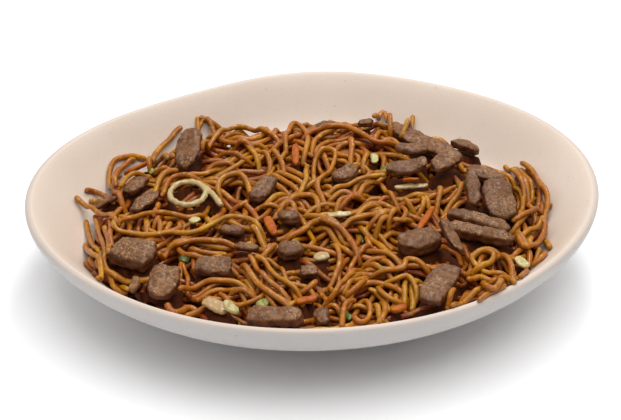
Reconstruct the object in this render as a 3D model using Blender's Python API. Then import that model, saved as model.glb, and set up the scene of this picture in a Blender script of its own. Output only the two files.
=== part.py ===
"""Stir-fried egg noodles with beef, onion and carrot in an oval stoneware bowl.

The bowl stands on its foot ring at z = 0 with its long side along X. Its rim is a rounded pebble
outline, and the noodle heap fills it almost to the rim. Sizes are in metres.
"""

import math
import random

import bmesh
import bpy
import numpy as np
from mathutils import Vector

MM = 0.001

# Bowl
RIM_MEAN_RADIUS = 127.5 * MM
RIM_WAVES = (  # waves round the rim, share of the mean radius, angle of the first crest in degrees
    (1, 0.0143, -32.1),
    (2, 0.1150, 7.5),
    (3, 0.0079, -57.4),
    (4, 0.0201, 2.8),
    (5, 0.0075, 22.5),
)
BOWL_HEIGHT = 52 * MM
WALL = 4.5 * MM
WALL_DROP = 44.5 * MM
WALL_CURVE = 0.56
FLARE_START = 0.80
FLARE_RINGS = 5
LIP_SLOPE = math.radians(40)
FOOT_SHARE = 0.50
FOOT_WIDTH_SHARE = 0.045
FOOT_RECESS = 3 * MM
FLOOR_LEVEL = 8.4 * MM
FLOOR_BLEND = 2.5 * MM
FLOOR_SHARES = (0.0, 0.22, 0.38)
SEGMENTS = 42
WALL_RINGS = 7
LIP_RINGS = 3

# Noodle heap
HEAP_EDGE = 0.80
HEAP_EDGE_SWAY_X = 0.010
HEAP_EDGE_SWAY_Y = -0.010
HEAP_FRONT_REACH = 0.09
HEAP_FRONT_TURN = 0.30
HEAP_CROWN = 45 * MM
HEAP_SHOULDER = 2.8
HEAP_STEEPNESS = 0.42
HEAP_MOUNDS = (  # x, y, height and radius of places where the noodles are piled higher
    (-58 * MM, 60 * MM, 7 * MM, 26 * MM),
    (40 * MM, 74 * MM, 4 * MM, 18 * MM),
    (88 * MM, 22 * MM, 2 * MM, 22 * MM),
)
HEAP_RINGS = 7
GAP = 0.5 * MM

# Noodles
NOODLE_RADIUS = 1.7 * MM
NOODLE_STEP = 2 * MM
NOODLE_STEPS_A_POINT = 4
NOODLE_LOOKAHEAD = 5 * MM
NOODLE_COUNT = 22
NOODLE_LENGTH = 130 * MM
NOODLE_SHORTEST = 40 * MM
NOODLE_TRIES = 120
NOODLE_SUNK = 0.8 * MM
NOODLE_HIGHEST = 4.5 * MM
NOODLE_OUTERMOST = 0.03
NOODLE_SEED = 11
SLICE_SEED = 5
TURNS_TO_TRY = (0, 9, -9, 18, -18, 28, -28, 40, -40)

# Toppings: name, x, y, length, width, thickness in millimetres; heading of the length from +X,
# slope up along the length and slope up across the width, in degrees
BEEF_SLICES = (
    ("beef_01", -65, 36, 22, 13, 4.0, 84, 24, 0),
    ("beef_02", -91, 17, 16, 10, 4.0, 52, 0, 6),
    ("beef_03", -85, 0, 18, 10, 4.0, 58, 0, -4),
    ("beef_04", -106, 7, 13, 5, 3.0, 0, 0, 0),
    ("beef_05", -87, -49, 23, 17, 8.0, -24, 0, 4),
    ("beef_06", -71, -75, 24, 14.5, 5.0, 84, 0, 0),
    ("beef_07", -48, -59, 18, 13, 5.0, -4, 0, 0),
    ("beef_08", -25, 5, 19, 10, 5.0, 67, 6, 0),
    ("beef_09", -12, -19, 10, 8, 5.0, 11, 0, 0),
    ("beef_10", -40, -29, 12, 6, 4.0, -8, 0, 0),
    ("beef_11", -18, -97, 27, 11, 6.0, -5, 0, 0),
    ("beef_12", 4, -97, 10, 7.5, 4.0, -75, 0, 0),
    ("beef_13", -2, -63, 9, 8, 4.0, 16, 0, 0),
    ("beef_14", 7, 69, 12, 7, 4.0, 8, 0, 10),
    ("beef_15", 28, 73, 8, 6, 4.0, 0, 0, 0),
    ("beef_16", 17, 20, 16, 10, 5.0, 55, 0, 0),
    ("beef_17", 57, 53, 46, 12, 5.0, -41, 0, 8),
    ("beef_18", 68, 27, 18, 11, 4.5, 44, 0, 0),
    ("beef_19", 51, 38, 17, 8, 4.0, -9, 0, 0),
    ("beef_20", 48, 20, 22, 9, 4.0, 6, 0, 0),
    ("beef_21", 81, 56, 16, 10, 5.0, -30, 0, 0),
    ("beef_22", 89, 22, 21, 10, 5.0, -23, 0, 0),
    ("beef_23", 94, -3, 26, 17, 5.0, 98, 12, 0),
    ("beef_24", 80, -3, 22, 7, 5.0, 92, 12, 0),
    ("beef_25", 82, -22, 33, 8, 6.0, -21, 0, 10),
    ("beef_26", 82, -33, 35, 8, 6.0, -19, 0, 10),
    ("beef_27", 52, -41, 22, 15, 8.0, 25, 0, 0),
    ("beef_28", 67, -47, 20, 7, 5.0, -65, 0, 0),
    ("beef_29", 59, -80, 31, 14, 5.0, 66, 0, 0),
    ("beef_30", -32, -44, 12, 5, 4.0, -12, 0, 0),
    ("beef_31", -84.5, -73, 11, 4.5, 4.0, 84, 0, 0),
    ("beef_32", -11, -47, 12, 11, 6.0, 30, 0, 0),
)
ONION_SLICES = (
    ("onion_02", -46, -87, 14, 7, 2.5, -35, 0, 0),
    ("onion_03", -38.5, -92, 8, 5, 2.5, -22, 0, 0),
    ("onion_04", 4, -50, 9, 6, 2.0, 18, 0, 0),
    ("onion_05", 32, 37, 10, 4, 2.0, -87, 0, 0),
    ("onion_06", 13, -15, 13, 4, 2.0, 4, 0, 0),
    ("onion_07", 101, -53, 9, 6, 2.0, -50, 0, 0),
    ("onion_08", -59, -19, 6, 5, 2.0, 40, 0, 0),
    ("onion_09", 50, 10.5, 18, 3.5, 2.0, 7, 0, 0),
)
CARROT_STRIPS = (
    ("carrot_01", -93, 39, 13, 6, 3.0, 0, 0, 0),
    ("carrot_02", -9, 38, 18, 4, 2.5, 90, 8, 0),
    ("carrot_03", -21, -25, 16, 5, 2.5, -73, 0, 0),
    ("carrot_04", 50, 11.5, 9, 4, 2.5, 8, 0, 0),
    ("carrot_05", 56, -18.5, 24, 3.5, 2.5, -113, 0, 0),
    ("carrot_06", 40, -90, 9, 4, 2.5, 25, 0, 0),
    ("carrot_07", -3, -84, 11, 4, 2.5, 17, 0, 0),
)
LEAF_BITS = (  # x, y, length, width, thickness and heading; fused to the heap
    (-43, 46, 6, 3.5, 1.5, 60),
    (-41, 26, 6, 4, 1.5, -30),
    (38, 33, 6, 4, 1.5, 20),
    (75, 14, 5, 4, 1.5, 80),
    (-24, -84, 6, 4, 1.5, 30),
    (15, -93, 6, 4, 1.5, -10),
    (-62, -45, 6, 5, 1.5, 40),
    (34, -62, 5, 3, 1.5, 0),
)
RING_CENTRE = (-63.5 * MM, 4 * MM)
RING_RADII = (9 * MM, 10.5 * MM)
RING_BAND = 1.5 * MM
RING_POINTS = 18
RING_TAIL = ((-58 * MM, 12.8 * MM), (-53 * MM, 7 * MM), (-49 * MM, 0), (-46 * MM, -7 * MM))
TOPPING_CLEARANCE = 0.8 * MM
TOPPING_STEEPEST = 0.55
BENDS_ALONG_FROM = 15 * MM
BENDS_ACROSS_FROM = 14 * MM
CORNER_ROUNDING = 0.12
EDGE_DROOP = 0.2

SURFACES = {  # colour, roughness
    "stoneware": ((0.76, 0.66, 0.57), 0.45),
    "noodle": ((0.48, 0.22, 0.045), 0.40),
    "beef": ((0.26, 0.15, 0.11), 0.50),
    "onion": ((0.72, 0.66, 0.40), 0.35),
    "carrot": ((0.62, 0.17, 0.02), 0.40),
}


def clear_scene():
    for obj in list(bpy.data.objects):
        bpy.data.objects.remove(obj, do_unlink=True)


def new_collection(name):
    collection = bpy.data.collections.new(name)
    bpy.context.scene.collection.children.link(collection)
    return collection


def material(name):
    colour, roughness = SURFACES[name]
    made = bpy.data.materials.new(name)
    made.use_nodes = True
    shader = made.node_tree.nodes["Principled BSDF"]
    shader.inputs["Base Color"].default_value = (*colour, 1.0)
    shader.inputs["Roughness"].default_value = roughness
    made.diffuse_color = (*colour, 1.0)
    return made


def rim_radius(angle):
    waves = sum(
        share * math.cos(count * (angle - math.radians(crest)))
        for count, share, crest in RIM_WAVES
    )
    return RIM_MEAN_RADIUS * (1 + waves)


def rim_box_centre():
    """Middle of the rim's bounding box, measured from the point that its radius is drawn from."""
    angles = [math.radians(degree) for degree in range(360)]
    xs = [rim_radius(a) * math.cos(a) for a in angles]
    ys = [rim_radius(a) * math.sin(a) for a in angles]
    return (min(xs) + max(xs)) / 2, (min(ys) + max(ys)) / 2


CENTRE_X, CENTRE_Y = rim_box_centre()


def at_share(angle, share, height):
    """The point at a share of the rim's radius, with the middle of the rim's box over the origin."""
    radius = rim_radius(angle) * share
    return Vector(
        (radius * math.cos(angle) - CENTRE_X, radius * math.sin(angle) - CENTRE_Y, height)
    )


def share_at(x, y):
    """(angle, share of the rim's radius) of a plan position."""
    x, y = x + CENTRE_X, y + CENTRE_Y
    angle = math.atan2(y, x)
    return angle, math.hypot(x, y) / rim_radius(angle)


def wall_outside(share):
    """Height of the bowl's outer wall."""
    way_in = min(1.0, max(0.0, (1 - share) / (1 - FOOT_SHARE)))
    return BOWL_HEIGHT - WALL / 2 - WALL_DROP * way_in**WALL_CURVE


def wall_shares():
    """Shares of the outer wall's rings, closest together near the rim, where the wall turns up."""
    return [1 - (1 - FOOT_SHARE) * (1 - i / WALL_RINGS) ** 2 for i in range(WALL_RINGS + 1)]


def blend_to_floor(height):
    above = height - FLOOR_LEVEL
    return FLOOR_LEVEL + (above + math.sqrt(above**2 + 4 * FLOOR_BLEND**2)) / 2


def inner_rings():
    """(share, height) of the inner surface's rings, from the floor's middle to the lip."""
    step = 1e-4
    rings = []
    for share in wall_shares():
        low = max(FOOT_SHARE, share - step)
        high = min(1.0, low + step)
        rise = wall_outside(high) - wall_outside(low)
        run = (high - low) * RIM_MEAN_RADIUS
        slant = math.hypot(rise, run)
        inward = WALL * rise / slant / RIM_MEAN_RADIUS
        upward = WALL * run / slant
        rings.append((share - inward, wall_outside(share) + upward))
    floor = [(share, rings[0][1] - (rings[0][0] - share) * 0.02) for share in FLOOR_SHARES]
    even = [ring for ring in rings if ring[0] < FLARE_START]
    return [(share, blend_to_floor(height)) for share, height in floor + even] + flare_rings(rings)


def flare_rings(rings):
    """(share, height) of the inner wall's upper part, an easy curve that ends on the lip."""
    step = 1e-3
    shares, heights = zip(*rings)
    start, after = np.interp((FLARE_START, FLARE_START + step), shares, heights)
    top_share = 1 - WALL / 2 * (1 + math.sin(LIP_SLOPE)) / RIM_MEAN_RADIUS
    top = BOWL_HEIGHT - WALL / 2 * (1 - math.cos(LIP_SLOPE))
    span = top_share - FLARE_START
    leave = (after - start) / step * span
    arrive = math.tan(LIP_SLOPE) * span * RIM_MEAN_RADIUS
    flare = []
    for k in range(FLARE_RINGS + 1):
        t = k / FLARE_RINGS
        height = start * (1 + 2 * t) * (1 - t) ** 2 + leave * t * (1 - t) ** 2
        height += top * t**2 * (3 - 2 * t) - arrive * t**2 * (1 - t)
        flare.append((FLARE_START + span * t, height))
    return flare


INNER = inner_rings()


def wall_inside(share):
    """Height of the bowl's inner surface, straight between its rings."""
    return float(np.interp(share, [s for s, _ in INNER], [z for _, z in INNER]))


def ring_angles():
    return [2 * math.pi * i / SEGMENTS for i in range(SEGMENTS)]


def loft(name, first, rings, last, collection, surface):
    """A closed solid through rings of points, shut by a point at either end."""
    mesh = bpy.data.meshes.new(name)
    work = bmesh.new()
    start = work.verts.new(first)
    rows = [[work.verts.new(point) for point in ring] for ring in rings]
    end = work.verts.new(last)
    count = len(rows[0])
    for i in range(count):
        j = (i + 1) % count
        work.faces.new((start, rows[0][i], rows[0][j]))
        work.faces.new((end, rows[-1][j], rows[-1][i]))
        for low, high in zip(rows, rows[1:]):
            work.faces.new((low[i], high[i], high[j], low[j]))
    bmesh.ops.recalc_face_normals(work, faces=work.faces)
    work.to_mesh(mesh)
    work.free()
    obj = bpy.data.objects.new(name, mesh)
    collection.objects.link(obj)
    mesh.materials.append(surface)
    mesh.shade_smooth()
    mesh.set_sharp_from_angle(angle=math.radians(40))
    return obj


def build_bowl(collection, surface):
    """The shell: its underside, out over the foot ring and up the wall, over the lip, and in."""
    foot_inner = FOOT_SHARE - FOOT_WIDTH_SHARE
    foot = [(foot_inner - 0.01, FOOT_RECESS), (foot_inner, 0.0), (FOOT_SHARE, 0.0)]
    outside = [(share, wall_outside(share)) for share in wall_shares()]
    lip_share = WALL / 2 / RIM_MEAN_RADIUS
    lip_end = math.pi / 2 + LIP_SLOPE
    lip_turns = [lip_end * k / (LIP_RINGS + 1) for k in range(1, LIP_RINGS + 1)]
    lip = [
        (
            1 - lip_share * (1 - math.cos(turn)),
            BOWL_HEIGHT - WALL / 2 * (1 - math.sin(turn)),
        )
        for turn in lip_turns
    ]
    inside = INNER[:0:-1]
    rings = [
        [at_share(angle, share, height) for angle in ring_angles()]
        for share, height in foot + outside + lip + inside
    ]
    underside = at_share(0, 0, FOOT_RECESS)
    floor = at_share(0, 0, wall_inside(0))
    return loft("bowl", underside, rings, floor, collection, surface)


def heap_edge(angle):
    """Share of the rim's radius that the heap fills, which is most along the front."""
    sway = HEAP_EDGE_SWAY_X * math.cos(angle) + HEAP_EDGE_SWAY_Y * math.sin(angle)
    frontward = max(0.0, -math.sin(angle)) / HEAP_FRONT_TURN
    return HEAP_EDGE + sway + HEAP_FRONT_REACH * (1 - math.exp(-(frontward**2)))


def ground(x, y):
    """Height of what noodles and toppings rest on: the heap's core, and the bowl's wall past it."""
    angle, share = share_at(x, y)
    edge = heap_edge(angle)
    if share >= edge:
        return wall_inside(share) + GAP
    out = share / edge
    low = wall_inside(edge) + GAP
    height = low + (HEAP_CROWN - low) * (1 - out**HEAP_SHOULDER) ** HEAP_STEEPNESS
    for mound_x, mound_y, rise, radius in HEAP_MOUNDS:
        near = ((x - mound_x) ** 2 + (y - mound_y) ** 2) / radius**2
        height += rise * math.exp(-near) * (1 - out**8)
    return height


def build_core(collection, surface):
    """The noodles that don't show, as one mass: the bowl's own curve below and a crown above."""
    narrowest = min(heap_edge(angle) for angle in ring_angles())
    bottom = [share for share, _ in INNER[1:] if share < narrowest - 0.02]
    rings = [
        [at_share(a, share, wall_inside(share) + GAP) for a in ring_angles()] for share in bottom
    ]
    rings.append(
        [at_share(a, heap_edge(a), wall_inside(heap_edge(a)) + GAP) for a in ring_angles()]
    )
    for k in range(HEAP_RINGS - 1, 0, -1):
        share_of_edge = 1 - (1 - k / HEAP_RINGS) ** 2.4
        ring = []
        for a in ring_angles():
            point = at_share(a, heap_edge(a) * share_of_edge, 0)
            ring.append(Vector((point.x, point.y, ground(point.x, point.y))))
        rings.append(ring)
    low = at_share(0, 0, wall_inside(0) + GAP)
    high = at_share(0, 0, ground(-CENTRE_X, -CENTRE_Y))
    return loft("noodles", low, rings, high, collection, surface)


class Topping:
    """A slice lying on the heap: its plan frame, and the surface that its underside follows."""

    def __init__(self, x, y, length, width, thickness, heading, slope_along=0, slope_across=0):
        self.x, self.y = x * MM, y * MM
        self.length, self.width, self.thickness = length * MM, width * MM, thickness * MM
        self.heading = math.radians(heading)
        self.slopes = math.tan(math.radians(slope_along)), math.tan(math.radians(slope_across))
        self.shape = None

    def plan(self, along, across):
        """Plan position of a point given in shares of the half length and half width."""
        u, v = along * self.length / 2, across * self.width / 2
        c, s = math.cos(self.heading), math.sin(self.heading)
        return self.x + u * c - v * s, self.y + u * s + v * c

    def shares(self, x, y):
        """(along, across) of a plan position, in shares of the half length and half width."""
        dx, dy = x - self.x, y - self.y
        c, s = math.cos(self.heading), math.sin(self.heading)
        return (dx * c + dy * s) * 2 / self.length, (dy * c - dx * s) * 2 / self.width

    def terms(self, along, across):
        """Height, the two slopes, and the bends that a slice is long or wide enough to take."""
        u, v = along * self.length / 2, across * self.width / 2
        bends = self.length > BENDS_ALONG_FROM, self.width > BENDS_ACROSS_FROM
        return [1, u, v, bends[0] * u * u, bends[1] * v * v]

    def settle(self, support):
        """Fits a soft curved underside to what lies below, tilts it, and lifts it clear."""
        shares = [-1.1, -0.7, -0.35, 0, 0.35, 0.7, 1.1]
        places = [(a, b) for a in shares for b in shares]
        heights = np.array([support(*self.plan(a, b)) for a, b in places])
        rows = np.array([self.terms(a, b) for a, b in places])
        shape = np.linalg.lstsq(rows, heights, rcond=None)[0]
        shape[1:3] = np.clip(shape[1:3], -TOPPING_STEEPEST, TOPPING_STEEPEST) + self.slopes
        shape[0] += (heights - rows @ shape).max() + TOPPING_CLEARANCE
        self.shape = shape

    def underside(self, along, across):
        return float(np.dot(self.shape, self.terms(along, across)))

    def top(self, x, y):
        """Height of the slice's upper face over a plan position, or None beside the slice."""
        along, across = self.shares(x, y)
        if max(abs(along), abs(across)) > 1.12:
            return None
        return self.underside(along, across) + self.thickness

    def clear_of(self, x, y, reach):
        along, across = self.shares(x, y)
        beside = abs(along) * self.length / 2 - self.length / 2
        before = abs(across) * self.width / 2 - self.width / 2
        return max(beside, before) > reach


def support_under(others):
    def height(x, y):
        tops = [t for t in (o.top(x, y) for o in others) if t is not None]
        return max([ground(x, y), *tops])

    return height


def grid_size(topping):
    """Grid points along and across a slice: enough for its bend and for its outline."""
    along = 7 if topping.length > 18 * MM else 5
    across = 4 if topping.width > 7.5 * MM else 3
    return along, across


def build_slice(name, topping, collection, surface, draw):
    """A cut slice: a grid with an uneven rounded outline, given its thickness upwards."""
    along_points, across_points = grid_size(topping)
    mesh = bpy.data.meshes.new(name)
    work = bmesh.new()
    grid = bmesh.ops.create_grid(
        work, x_segments=along_points - 1, y_segments=across_points - 1, size=1.0
    )["verts"]
    corner_pull = [draw.uniform(0.0, 0.2) for _ in range(4)]
    sway, taper, crest = draw.uniform(-0.1, 0.1), draw.uniform(-0.12, 0.12), draw.uniform(-0.08, 0.08)
    for vert in grid:
        a, b = vert.co.x, vert.co.y
        pull = 1 - corner_pull[(a > 0) + 2 * (b > 0)] * abs(a * b) ** 1.5
        along = a * (1 - CORNER_ROUNDING * b * b / 2) * pull
        across = b * (1 - CORNER_ROUNDING * a * a) * (1 + taper * a) * pull + sway * (a * a - 0.5)
        vert.co = Vector((*topping.plan(along, across), topping.underside(along, across)))
    extruded = bmesh.ops.extrude_face_region(work, geom=work.faces[:])
    lifted = [part for part in extruded["geom"] if isinstance(part, bmesh.types.BMVert)]
    for vert in lifted:
        along, across = topping.shares(vert.co.x, vert.co.y)
        rim = min(1.0, max(abs(along), abs(across)))
        vert.co.z += topping.thickness * (1 - EDGE_DROOP * rim**4 + crest * math.cos(5 * along))
    bmesh.ops.recalc_face_normals(work, faces=work.faces)
    bmesh.ops.triangulate(work, faces=work.faces)
    work.to_mesh(mesh)
    work.free()
    obj = bpy.data.objects.new(name, mesh)
    collection.objects.link(obj)
    mesh.materials.append(surface)
    return obj


def tube(name, points, radius, cyclic, collection, surface):
    """A round strand along points, as a mesh whose end caps are welded to its side."""
    curve = bpy.data.curves.new(name, "CURVE")
    curve.dimensions = "3D"
    curve.bevel_depth = radius
    curve.bevel_resolution = 1
    curve.use_fill_caps = not cyclic
    spline = curve.splines.new("POLY")
    spline.points.add(len(points) - 1)
    for target, point in zip(spline.points, points):
        target.co = (*point, 1.0)
    spline.use_cyclic_u = cyclic
    guide = bpy.data.objects.new(name + "_line", curve)
    collection.objects.link(guide)
    bpy.context.view_layer.update()
    graph = bpy.context.evaluated_depsgraph_get()
    mesh = bpy.data.meshes.new_from_object(guide.evaluated_get(graph))
    matrix = guide.matrix_world.copy()
    bpy.data.objects.remove(guide, do_unlink=True)
    work = bmesh.new()
    work.from_mesh(mesh)
    bmesh.ops.remove_doubles(work, verts=work.verts, dist=0.00005)
    bmesh.ops.recalc_face_normals(work, faces=work.faces)
    work.to_mesh(mesh)
    work.free()
    obj = bpy.data.objects.new(name, mesh)
    obj.matrix_world = matrix
    collection.objects.link(obj)
    mesh.materials.clear()
    mesh.materials.append(surface)
    return obj


def ring_points(support):
    """A closed ring, lying on what is below it."""
    points = []
    for i in range(RING_POINTS):
        turn = 2 * math.pi * i / RING_POINTS
        x = RING_CENTRE[0] + RING_RADII[0] * math.cos(turn)
        y = RING_CENTRE[1] + RING_RADII[1] * math.sin(turn)
        points.append((x, y, support(x, y)))
    level = max(z for _, _, z in points) + RING_BAND + TOPPING_CLEARANCE
    return [(x, y, level) for x, y, _ in points]


def build_onion_ring(support, collection, surface):
    """The ring of an onion slice, with the end of its next layer running off it."""
    points = ring_points(support)
    level = points[0][2]
    tail = [(x, y, max(level - 0.5 * MM, support(x, y) + RING_BAND + GAP)) for x, y in RING_TAIL]
    ring = tube("onion_01", points, RING_BAND, True, collection, surface)
    loose_end = tube("tail", tail, RING_BAND, False, collection, surface)
    fuse(ring, [loose_end])


def build_leaf_bit(x, y, length, width, thickness, heading, collection, surface):
    """A snipped leaf: a thin slab that sits half sunk in the heap."""
    bpy.ops.mesh.primitive_cube_add(size=1, location=(0, 0, 0))
    bit = bpy.context.active_object
    x, y = x * MM, y * MM
    bit.scale = (length * MM, width * MM, 2 * thickness * MM)
    bit.location = (x, y, ground(x, y))
    bit.rotation_euler = (0, 0, math.radians(heading))
    bpy.ops.object.transform_apply(location=True, rotation=True, scale=True)
    for owner in list(bit.users_collection):
        owner.objects.unlink(bit)
    collection.objects.link(bit)
    bit.data.materials.append(surface)
    return bit


def is_free(x, y, toppings):
    """True where a noodle passes clear of every topping and of the bowl's upper wall."""
    angle, share = share_at(x, y)
    if share > heap_edge(angle) + NOODLE_OUTERMOST:
        return False
    reach = NOODLE_RADIUS + 1.6 * MM
    if not all(topping.clear_of(x, y, reach) for topping in toppings):
        return False
    if any(math.dist((x, y), point) < RING_BAND + reach + 2 * MM for point in RING_TAIL):
        return False
    across = math.hypot(
        (x - RING_CENTRE[0]) / RING_RADII[0], (y - RING_CENTRE[1]) / RING_RADII[1]
    )
    return abs(across - 1) * min(RING_RADII) > RING_BAND + reach


def wander(draw, toppings):
    """Plan points of one noodle, whose bend drifts and which turns aside from what it would meet."""
    start = at_share(draw.uniform(0, 2 * math.pi), math.sqrt(draw.uniform(0, 0.7)), 0)
    x, y = start.x, start.y
    heading = draw.uniform(0, 2 * math.pi)
    bend = draw.uniform(-50, 50)
    path = []
    if not is_free(x, y, toppings):
        return path
    while len(path) * NOODLE_STEP < NOODLE_LENGTH:
        path.append((x, y))
        bend = 0.93 * bend + draw.gauss(0, 14)
        heading += bend * NOODLE_STEP
        for turn in TURNS_TO_TRY:
            ahead = heading + math.radians(turn)
            seen = x + NOODLE_LOOKAHEAD * math.cos(ahead), y + NOODLE_LOOKAHEAD * math.sin(ahead)
            if is_free(*seen, toppings):
                break
        else:
            break
        x += NOODLE_STEP * math.cos(ahead)
        y += NOODLE_STEP * math.sin(ahead)
        heading = ahead
        if not is_free(x, y, toppings):
            break
    return path[::NOODLE_STEPS_A_POINT]


def cell(x, y):
    """The square of the plan that a point is in, two noodles wide."""
    size = 4 * NOODLE_RADIUS
    return round(x / size), round(y / size)


def rest_height(x, y):
    """Height of a noodle's axis lying on the ground, sunk a little into the heap's core."""
    angle, share = share_at(x, y)
    if share < heap_edge(angle):
        return ground(x, y) + NOODLE_RADIUS - NOODLE_SUNK
    slope = (wall_inside(share + 0.01) - wall_inside(share - 0.01)) / (0.02 * rim_radius(angle))
    return wall_inside(share) + (NOODLE_RADIUS + GAP) * math.hypot(1, slope)


def lay(points, laid):
    """Heights for one noodle: on the ground, and over the noodles laid before it."""
    reach = NOODLE_STEP * NOODLE_STEPS_A_POINT * 0.75
    heights = []
    for x, y in points:
        low = rest_height(x, y)
        height = low
        for other_x, other_y, other_z in laid:
            apart = math.hypot(x - other_x, y - other_y)
            if apart < reach:
                over = 2 * NOODLE_RADIUS * math.sqrt(1 - (apart / reach) ** 2)
                height = max(height, other_z + 0.8 * over)
        heights.append(min(height, low + NOODLE_HIGHEST))
    padded = [heights[0], *heights, heights[-1]]
    smooth = [max(h, (before + after) / 2) for before, h, after in zip(padded, heights, padded[2:])]
    return [(x, y, z) for (x, y), z in zip(points, smooth)]


def noodle_lines(toppings, draw):
    """Noodles spread over the heap, each the try that covers the most bare ground."""
    laid, lines, covered = [], [], set()
    for _ in range(NOODLE_COUNT):
        tries = [wander(draw, toppings) for _ in range(NOODLE_TRIES)]
        best = max(tries, key=lambda t: len({cell(x, y) for x, y in t} - covered))
        if len(best) * NOODLE_STEPS_A_POINT * NOODLE_STEP < NOODLE_SHORTEST:
            continue
        line = lay(best, laid)
        laid += line
        lines.append(line)
        covered |= {cell(x, y) for x, y in best}
    return lines


def fuse(base, parts):
    """One solid of base and parts, by one Boolean union on their collection."""
    joined = bpy.data.collections.new("joined")
    for part in parts:
        joined.objects.link(part)
    union = base.modifiers.new("union", "BOOLEAN")
    union.operation = "UNION"
    union.operand_type = "COLLECTION"
    union.collection = joined
    union.solver = "EXACT"
    union.use_self = True
    bpy.context.view_layer.update()
    graph = bpy.context.evaluated_depsgraph_get()
    mesh = bpy.data.meshes.new_from_object(base.evaluated_get(graph))
    base.modifiers.clear()
    base.data = mesh
    for part in parts:
        bpy.data.objects.remove(part, do_unlink=True)
    bpy.data.collections.remove(joined)


def keep_largest_shell(obj):
    """Drops the loose scraps and fills the hollows that a union of many strands leaves."""
    work = bmesh.new()
    work.from_mesh(obj.data)
    unseen = set(work.faces)
    shells = []
    while unseen:
        stack = [unseen.pop()]
        shell = set(stack)
        while stack:
            joins = [edge for edge in stack.pop().edges if len(edge.link_faces) == 2]
            for face in {face for edge in joins for face in edge.link_faces} & unseen:
                unseen.discard(face)
                shell.add(face)
                stack.append(face)
        shells.append(shell)
    largest = max(shells, key=len)
    scraps = [face for face in work.faces if face not in largest]
    bmesh.ops.delete(work, geom=scraps, context="FACES")
    work.to_mesh(obj.data)
    work.free()


def build_toppings(collection, surfaces, draw):
    """Beef, then onion, then carrot, each settled on the core and on the slices before it."""
    toppings = []
    for kind, table in (("beef", BEEF_SLICES), ("onion", ONION_SLICES), ("carrot", CARROT_STRIPS)):
        for name, *sizes in table:
            topping = Topping(*sizes)
            topping.settle(support_under(toppings))
            toppings.append(topping)
            build_slice(name, topping, collection, surfaces[kind], draw)
    build_onion_ring(support_under(toppings), collection, surfaces["onion"])
    return toppings


def build_noodles(collection, surface, toppings, draw):
    """The heap: its core, the noodles and the snipped leaves on it, fused."""
    core = build_core(collection, surface)
    strands = [
        tube(f"strand_{i}", line, NOODLE_RADIUS, False, collection, surface)
        for i, line in enumerate(noodle_lines(toppings, draw))
    ]
    leaves = [build_leaf_bit(*sizes, collection, surface) for sizes in LEAF_BITS]
    fuse(core, strands + leaves)
    keep_largest_shell(core)


def main():
    clear_scene()
    model = new_collection("noodle_bowl")
    surfaces = {name: material(name) for name in SURFACES}
    build_bowl(model, surfaces["stoneware"])
    toppings = build_toppings(model, surfaces, random.Random(SLICE_SEED))
    build_noodles(model, surfaces["noodle"], toppings, random.Random(NOODLE_SEED))


main()
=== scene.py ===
"""Looks of the bowl of beef stir-fried noodles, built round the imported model.

The noodles are laid one after another over a height field, so each rests on what lies below it.
Plan lengths are in millimetres while the noodles are laid, and in metres in every mesh.
"""

import math
import random

import bmesh
import bpy
import numpy as np
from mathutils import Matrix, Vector, noise


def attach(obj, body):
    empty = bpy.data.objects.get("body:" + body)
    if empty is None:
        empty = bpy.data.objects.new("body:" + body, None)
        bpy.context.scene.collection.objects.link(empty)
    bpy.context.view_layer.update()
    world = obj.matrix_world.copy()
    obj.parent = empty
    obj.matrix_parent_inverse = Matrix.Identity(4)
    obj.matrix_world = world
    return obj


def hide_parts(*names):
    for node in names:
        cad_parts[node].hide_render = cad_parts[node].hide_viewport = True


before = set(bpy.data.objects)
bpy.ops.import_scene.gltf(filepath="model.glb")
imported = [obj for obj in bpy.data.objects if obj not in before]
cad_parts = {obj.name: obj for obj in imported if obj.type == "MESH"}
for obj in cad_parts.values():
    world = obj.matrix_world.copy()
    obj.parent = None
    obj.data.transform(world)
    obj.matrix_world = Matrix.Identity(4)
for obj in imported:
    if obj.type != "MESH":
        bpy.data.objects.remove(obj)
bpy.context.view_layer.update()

MM = 0.001

# Bowl, as in the part's source
RIM_MEAN_RADIUS = 127.5
RIM_WAVES = ((1, 0.0143, -32.1), (2, 0.1150, 7.5), (3, 0.0079, -57.4), (4, 0.0201, 2.8), (5, 0.0075, 22.5))
BOWL_HEIGHT = 52.0
WALL = 4.5
WALL_DROP = 44.5
WALL_CURVE = 0.56
FLARE_START = 0.80
FLARE_RINGS = 14
LIP_SLOPE = math.radians(40)
FOOT_SHARE = 0.50
FOOT_WIDTH_SHARE = 0.045
FOOT_RECESS = 3.0
UNDERSIDE_SHARE = 0.2
FOOT_CHAMFER = 0.6
FOOT_CHAMFER_SHARE = 0.006
FLOOR_LEVEL = 8.4
FLOOR_BLEND = 2.5
FLOOR_SHARES = (0.0, 0.1, 0.2, 0.3, 0.38, 0.43)
FLOOR_SLOPE = 20.0
SEGMENTS = 192
WALL_RINGS = 26
LIP_RINGS = 9

# Noodle heap, as in the part's source
HEAP_EDGE = 0.80
HEAP_EDGE_SWAY_X = 0.010
HEAP_EDGE_SWAY_Y = -0.010
HEAP_FRONT_REACH = 0.09
HEAP_FRONT_TURN = 0.30
HEAP_CROWN = 45.0
HEAP_SHOULDER = 2.8
HEAP_STEEPNESS = 0.42
HEAP_MOUNDS = ((-58, 60, 7, 26), (40, 74, 4, 18), (88, 22, 2, 22))
HEAP_MOUND_FADE = 8
GAP = 0.5

# Height field that the noodles are laid on
CELL = 0.5
FIELD_X = (-132, 132)
FIELD_Y = (-110, 110)
CORE_DEPTH = 10.0
CORE_DEPTH_UNDER_TOPPINGS = 1.8
CLEAR_OF_BOWL = 0.2

# Noodles
NOODLE_RADIUS = 1.5
WALK_STEP = 2.0
POINT_STEP = 1.0
SEED = 7

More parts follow.
